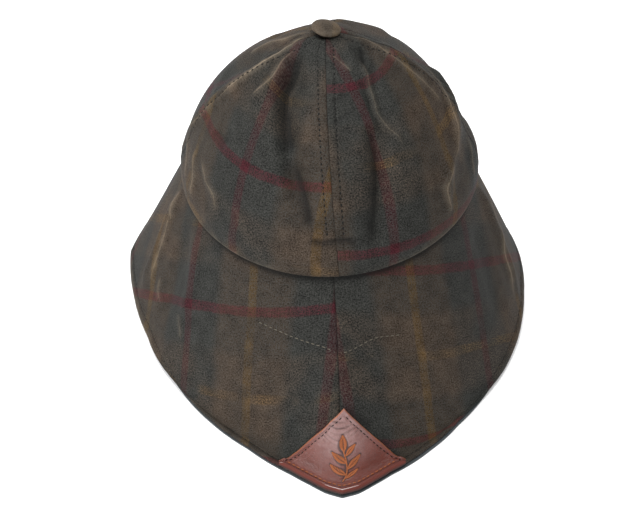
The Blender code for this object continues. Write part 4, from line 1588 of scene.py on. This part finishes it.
# The thread of a stitch: its width and height in mm, and the share of its height that is sunk
LEAF_THREAD = (0.75, 0.70, 0.20)
STEM_THREAD = (0.90, 0.80, 0.15)


def embroider(shape, starts, ends, laid, overlap=0.0):
    """A bead from each place on the patch to the other of its pair, and a share of its length past that."""
    width, height, sink = laid
    first, normals = on_patch(*starts.T)
    last, _ = on_patch(*ends.T)
    for start, end, normal in zip(first, last + (last - first) * overlap, normals):
        bead(shape, Vector(start), Vector(end), Vector(normal), width * MM, height * MM, sink)


def leaf(shape, base, direction, length, width):
    """Satin stitches on both sides of a vein."""
    across = np.array((-direction[1], direction[0]))
    share = (np.arange(LEAF_STITCHES) + 0.5) / LEAF_STITCHES
    vein = base + direction * (length * share)[:, None]
    for half in (-1, 1):
        rim = vein + across * (half * leaf_half(share, width))[:, None] + direction * (LEAF_SLANT * length)
        embroider(shape, vein, rim, LEAF_THREAD)


def sprig():
    shape = bmesh.new()
    stem = np.array([stem_point(share) for share in np.linspace(0, STEM_END, STEM_STITCHES + 1)])
    embroider(shape, stem[:-1], stem[1:], STEM_THREAD, STEM_OVERLAP)
    for planned in leaf_plan():
        leaf(shape, *planned)
    sewn("sprig_embroidery", shape, ORANGE_THREAD)


sprig()

# %% [markdown]
# The hat stands on a pale floor under a broad overhead light, with more from the left than from the
# right, and the camera looks down at it from behind as the photographer did.

# %% Floor, light and camera
RIM_CENTRE = np.array((0.0025, 0.0243, 0.082))
CAMERA_DISTANCE = 1.2
CAMERA_RISE = 46.0
CAMERA_DOWN = 48.59
CAMERA_TURN = 0.42
SENSOR_WIDTH = 36.0
FOCAL_LENGTH = 116.6
ROOM_LIGHT = 0.12
LIGHTS = {
    "overhead": ((0.0, -0.1, 1.85), (0.8, 0.8), 29.0),
    "low on the left": ((-1.3, -1.02, 0.75), (0.8, 0.8), 19.0),
    "far on the left": ((-0.9, 0.9, 1.3), (0.8, 0.8), 14.0),
    "low behind the camera": ((0.0, -1.7, 0.50), (1.6, 0.35), 11.0),
    "low on the right": ((1.6, -0.3, 0.45), (0.8, 0.8), 3.0),
    "far side": ((0.0, 1.25, 1.3), (0.8, 0.8), 9.0),
}


def plain_floor():
    shape = bmesh.new()
    bmesh.ops.create_grid(shape, x_segments=1, y_segments=1, size=4.0)
    floor = finished("floor", shape)
    paint = Paint("pale_floor")
    floor.data.materials.append(paint.finish(
        Base_Color=gray(0.86), Roughness=0.9, Specular_IOR_Level=0.1,
        Emission_Color=gray(1.0), Emission_Strength=0.25))


def soft_light(name, place, size, watts):
    light = bpy.data.lights.new(name, "AREA")
    light.shape = "RECTANGLE"
    light.size, light.size_y = size
    light.energy = watts
    lamp = bpy.data.objects.new(name, light)
    facing = (-Vector(place)).to_track_quat("-Z", "Y").to_matrix().to_4x4()
    lamp.matrix_world = Matrix.Translation(place) @ facing
    bpy.context.scene.collection.objects.link(lamp)


def white_room(strength):
    world = bpy.data.worlds.new("room")
    world.use_nodes = True
    world.node_tree.nodes["Background"].inputs["Color"].default_value = gray(1.0)
    world.node_tree.nodes["Background"].inputs["Strength"].default_value = strength
    bpy.context.scene.world = world


def take_view():
    rise = math.radians(CAMERA_RISE)
    place = RIM_CENTRE + CAMERA_DISTANCE * np.array((0.0, -math.cos(rise), math.sin(rise)))
    camera = bpy.data.objects.new("camera", bpy.data.cameras.new("camera"))
    camera.location = place
    camera.rotation_euler = (math.radians(90.0 - CAMERA_DOWN), 0.0, math.radians(CAMERA_TURN))
    camera.data.sensor_width = SENSOR_WIDTH
    camera.data.lens = FOCAL_LENGTH
    bpy.context.scene.collection.objects.link(camera)
    bpy.context.scene.camera = camera


plain_floor()
for light_name, (light_place, light_size, watts) in LIGHTS.items():
    soft_light(light_name, light_place, light_size, watts)
white_room(ROOM_LIGHT)
take_view()
bpy.context.scene.view_settings.view_transform = "Standard"
